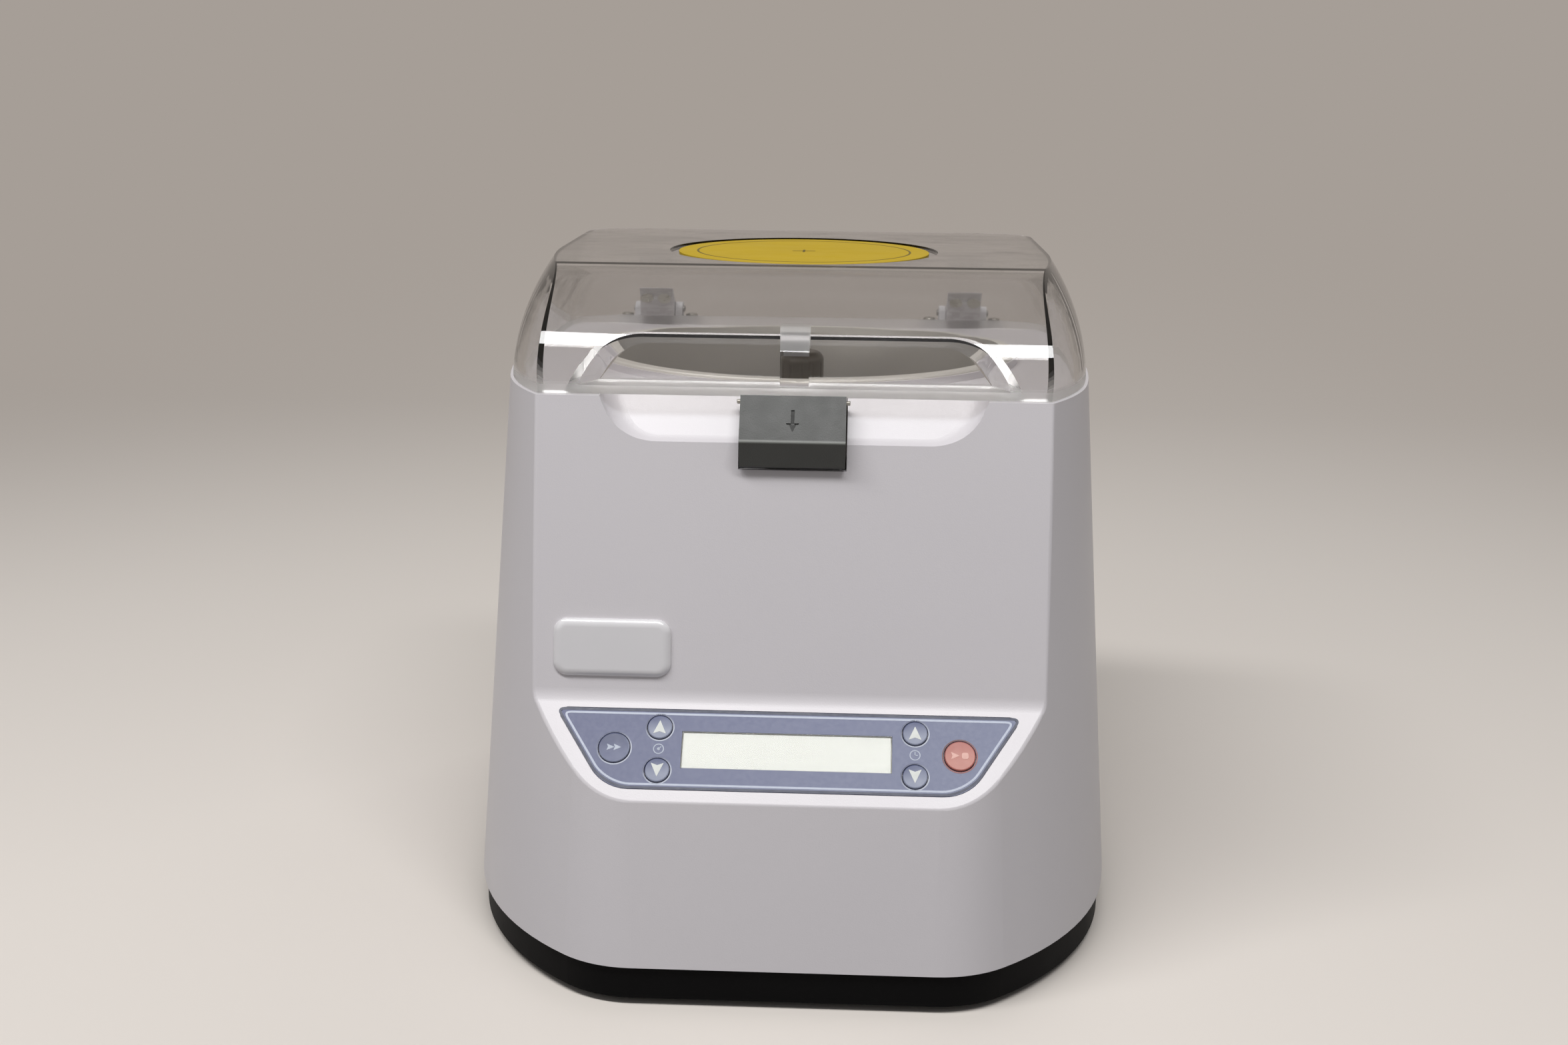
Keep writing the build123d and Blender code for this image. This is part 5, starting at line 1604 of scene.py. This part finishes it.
@dataclass
class Studio:
    """Plain pale floor and backdrop, soft lamps and the camera.

    Attributes:
        floor_size: Side of the floor.
        floor_y: Y of the floor's middle.
        backdrop_high: Height of the backdrop.
        bend_r: Reach of the bend between floor and backdrop.
        bend_steps: Steps in that bend.
        room_colour: Colour of the room's light, sRGB hex.
        room_level: Strength of that light.
        lamps: A long ceiling lamp and three weak ones round the object.
        eye: Where the camera stands.
        yaw: Turn of its view to the left.
        pitch: How far it looks down.
        roll: Its tilt to the right.
        lens_mm: Focal length.
        sensor_mm: Width of the sensor.
        clip: Distance from which the camera sees.
    """

    floor_size: float = 12.0
    floor_y: float = -4.1
    backdrop_high: float = 4.0
    bend_r: float = 0.9
    bend_steps: int = 24
    room_colour: str = "#E6E6E8"
    room_level: float = 0.14
    lamps: tuple[Lamp, ...] = (
        Lamp("ceiling_lamp", (-0.2, -0.82, 1.6), 0.15, (2.2, 0.28), 31),
        Lamp("left_lamp", (-1.35, -1.2, 0.9), 0.12, (1.2, 1.2), 2.8),
        Lamp("right_lamp", (1.7, -0.8, 0.9), 0.12, (1.2, 1.2), 1.7),
        Lamp("rear_lamp", (0.5, 1.3, 1.25), 0.12, (1.0, 1.0), 5, mirrored=False),
    )
    eye: Point = (0.0201, -0.7066, 0.31825)
    yaw: float = 0.0378
    pitch: float = 0.249
    roll: float = 0.0116
    lens_mm: float = 41.04
    sensor_mm: float = 36.0
    clip: float = 0.01

    def build(self) -> None:
        """Set up the stage, the lamps, the room's light and the camera."""
        self.build_stage()
        for lamp in self.lamps:
            lamp.hang()
        self.build_room()
        self.build_camera()

    def build_stage(self) -> None:
        """Model the floor with a backdrop that rises from it in a soft bend."""
        deselect()
        bpy.ops.mesh.primitive_plane_add(size=self.floor_size, location=(0, self.floor_y, 0))
        apply_place()
        floor = begin("studio_floor")
        back = self.floor_y + self.floor_size / 2 - self.bend_r
        pick(floor, Element.EDGE, lambda v: v.y > back)
        rise = {"value": (0, 0, self.backdrop_high)}
        bpy.ops.mesh.extrude_region_move(TRANSFORM_OT_translate=rise)
        pick(floor, Element.EDGE, lambda v: v.y > back and v.z < self.bend_r)
        bpy.ops.mesh.bevel(offset=self.bend_r, segments=self.bend_steps, affect="EDGES")
        bpy.ops.object.mode_set(mode="OBJECT")
        bpy.ops.object.shade_smooth()
        dress(floor, SWEEP_PAINT)
        log.info("studio_floor: %d faces", len(floor.data.polygons))

    def build_room(self) -> None:
        """Give the room its plain light and the even colour that the eye sees."""
        world = bpy.data.worlds.new("studio_room")
        bpy.context.scene.world = world
        world.use_nodes = True
        tree = world.node_tree
        tree.nodes.clear()
        glow = {"Color": linear(self.room_colour), "Strength": self.room_level}
        light = add_node(tree, "ShaderNodeBackground", glow).outputs["Background"]
        wall = {"Color": linear(ROOM_SEEN), "Strength": 1.0}
        seen = add_node(tree, "ShaderNodeBackground", wall).outputs["Background"]
        mixed = {0: seen_ray(tree), 1: light, 2: seen}
        room = add_node(tree, "ShaderNodeMixShader", mixed).outputs["Shader"]
        add_node(tree, "ShaderNodeOutputWorld", {"Surface": room})

    def build_camera(self) -> None:
        """Stand the camera where the photograph was taken from."""
        level = Vector((math.cos(self.yaw), math.sin(self.yaw), 0))
        forward = Vector(
            (
                -math.sin(self.yaw) * math.cos(self.pitch),
                math.cos(self.yaw) * math.cos(self.pitch),
                -math.sin(self.pitch),
            )
        )
        upright = level.cross(forward)
        right = math.cos(self.roll) * level + math.sin(self.roll) * upright
        up = -math.sin(self.roll) * level + math.cos(self.roll) * upright
        camera = bpy.data.cameras.new("photo_camera")
        camera.lens = self.lens_mm
        camera.sensor_width = self.sensor_mm
        camera.sensor_fit = "HORIZONTAL"
        camera.clip_start = self.clip
        obj = bpy.data.objects.new("photo_camera", camera)
        bpy.context.scene.collection.objects.link(obj)
        turn = Matrix((right, up, -forward)).transposed().to_4x4()
        obj.matrix_world = Matrix.Translation(self.eye) @ turn
        bpy.context.scene.camera = obj
        bpy.context.scene.view_settings.view_transform = "Standard"


# ---------------------------------------------------------------- everything


def dress_nodes() -> None:
    """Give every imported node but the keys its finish."""
    for name, finish in NODE_FINISHES.items():
        dress(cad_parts[name], finish)
        log.info("%s: %s", name, finish.name)


def main() -> None:
    """Build the whole scene."""
    dress_nodes()
    ControlFace().build()
    FrontBadge().build()
    LatchMark().build()
    LidDisc().build()
    PowerSwitch().build()
    Studio().build()
    deselect()


if __name__ == "__main__":
    main()
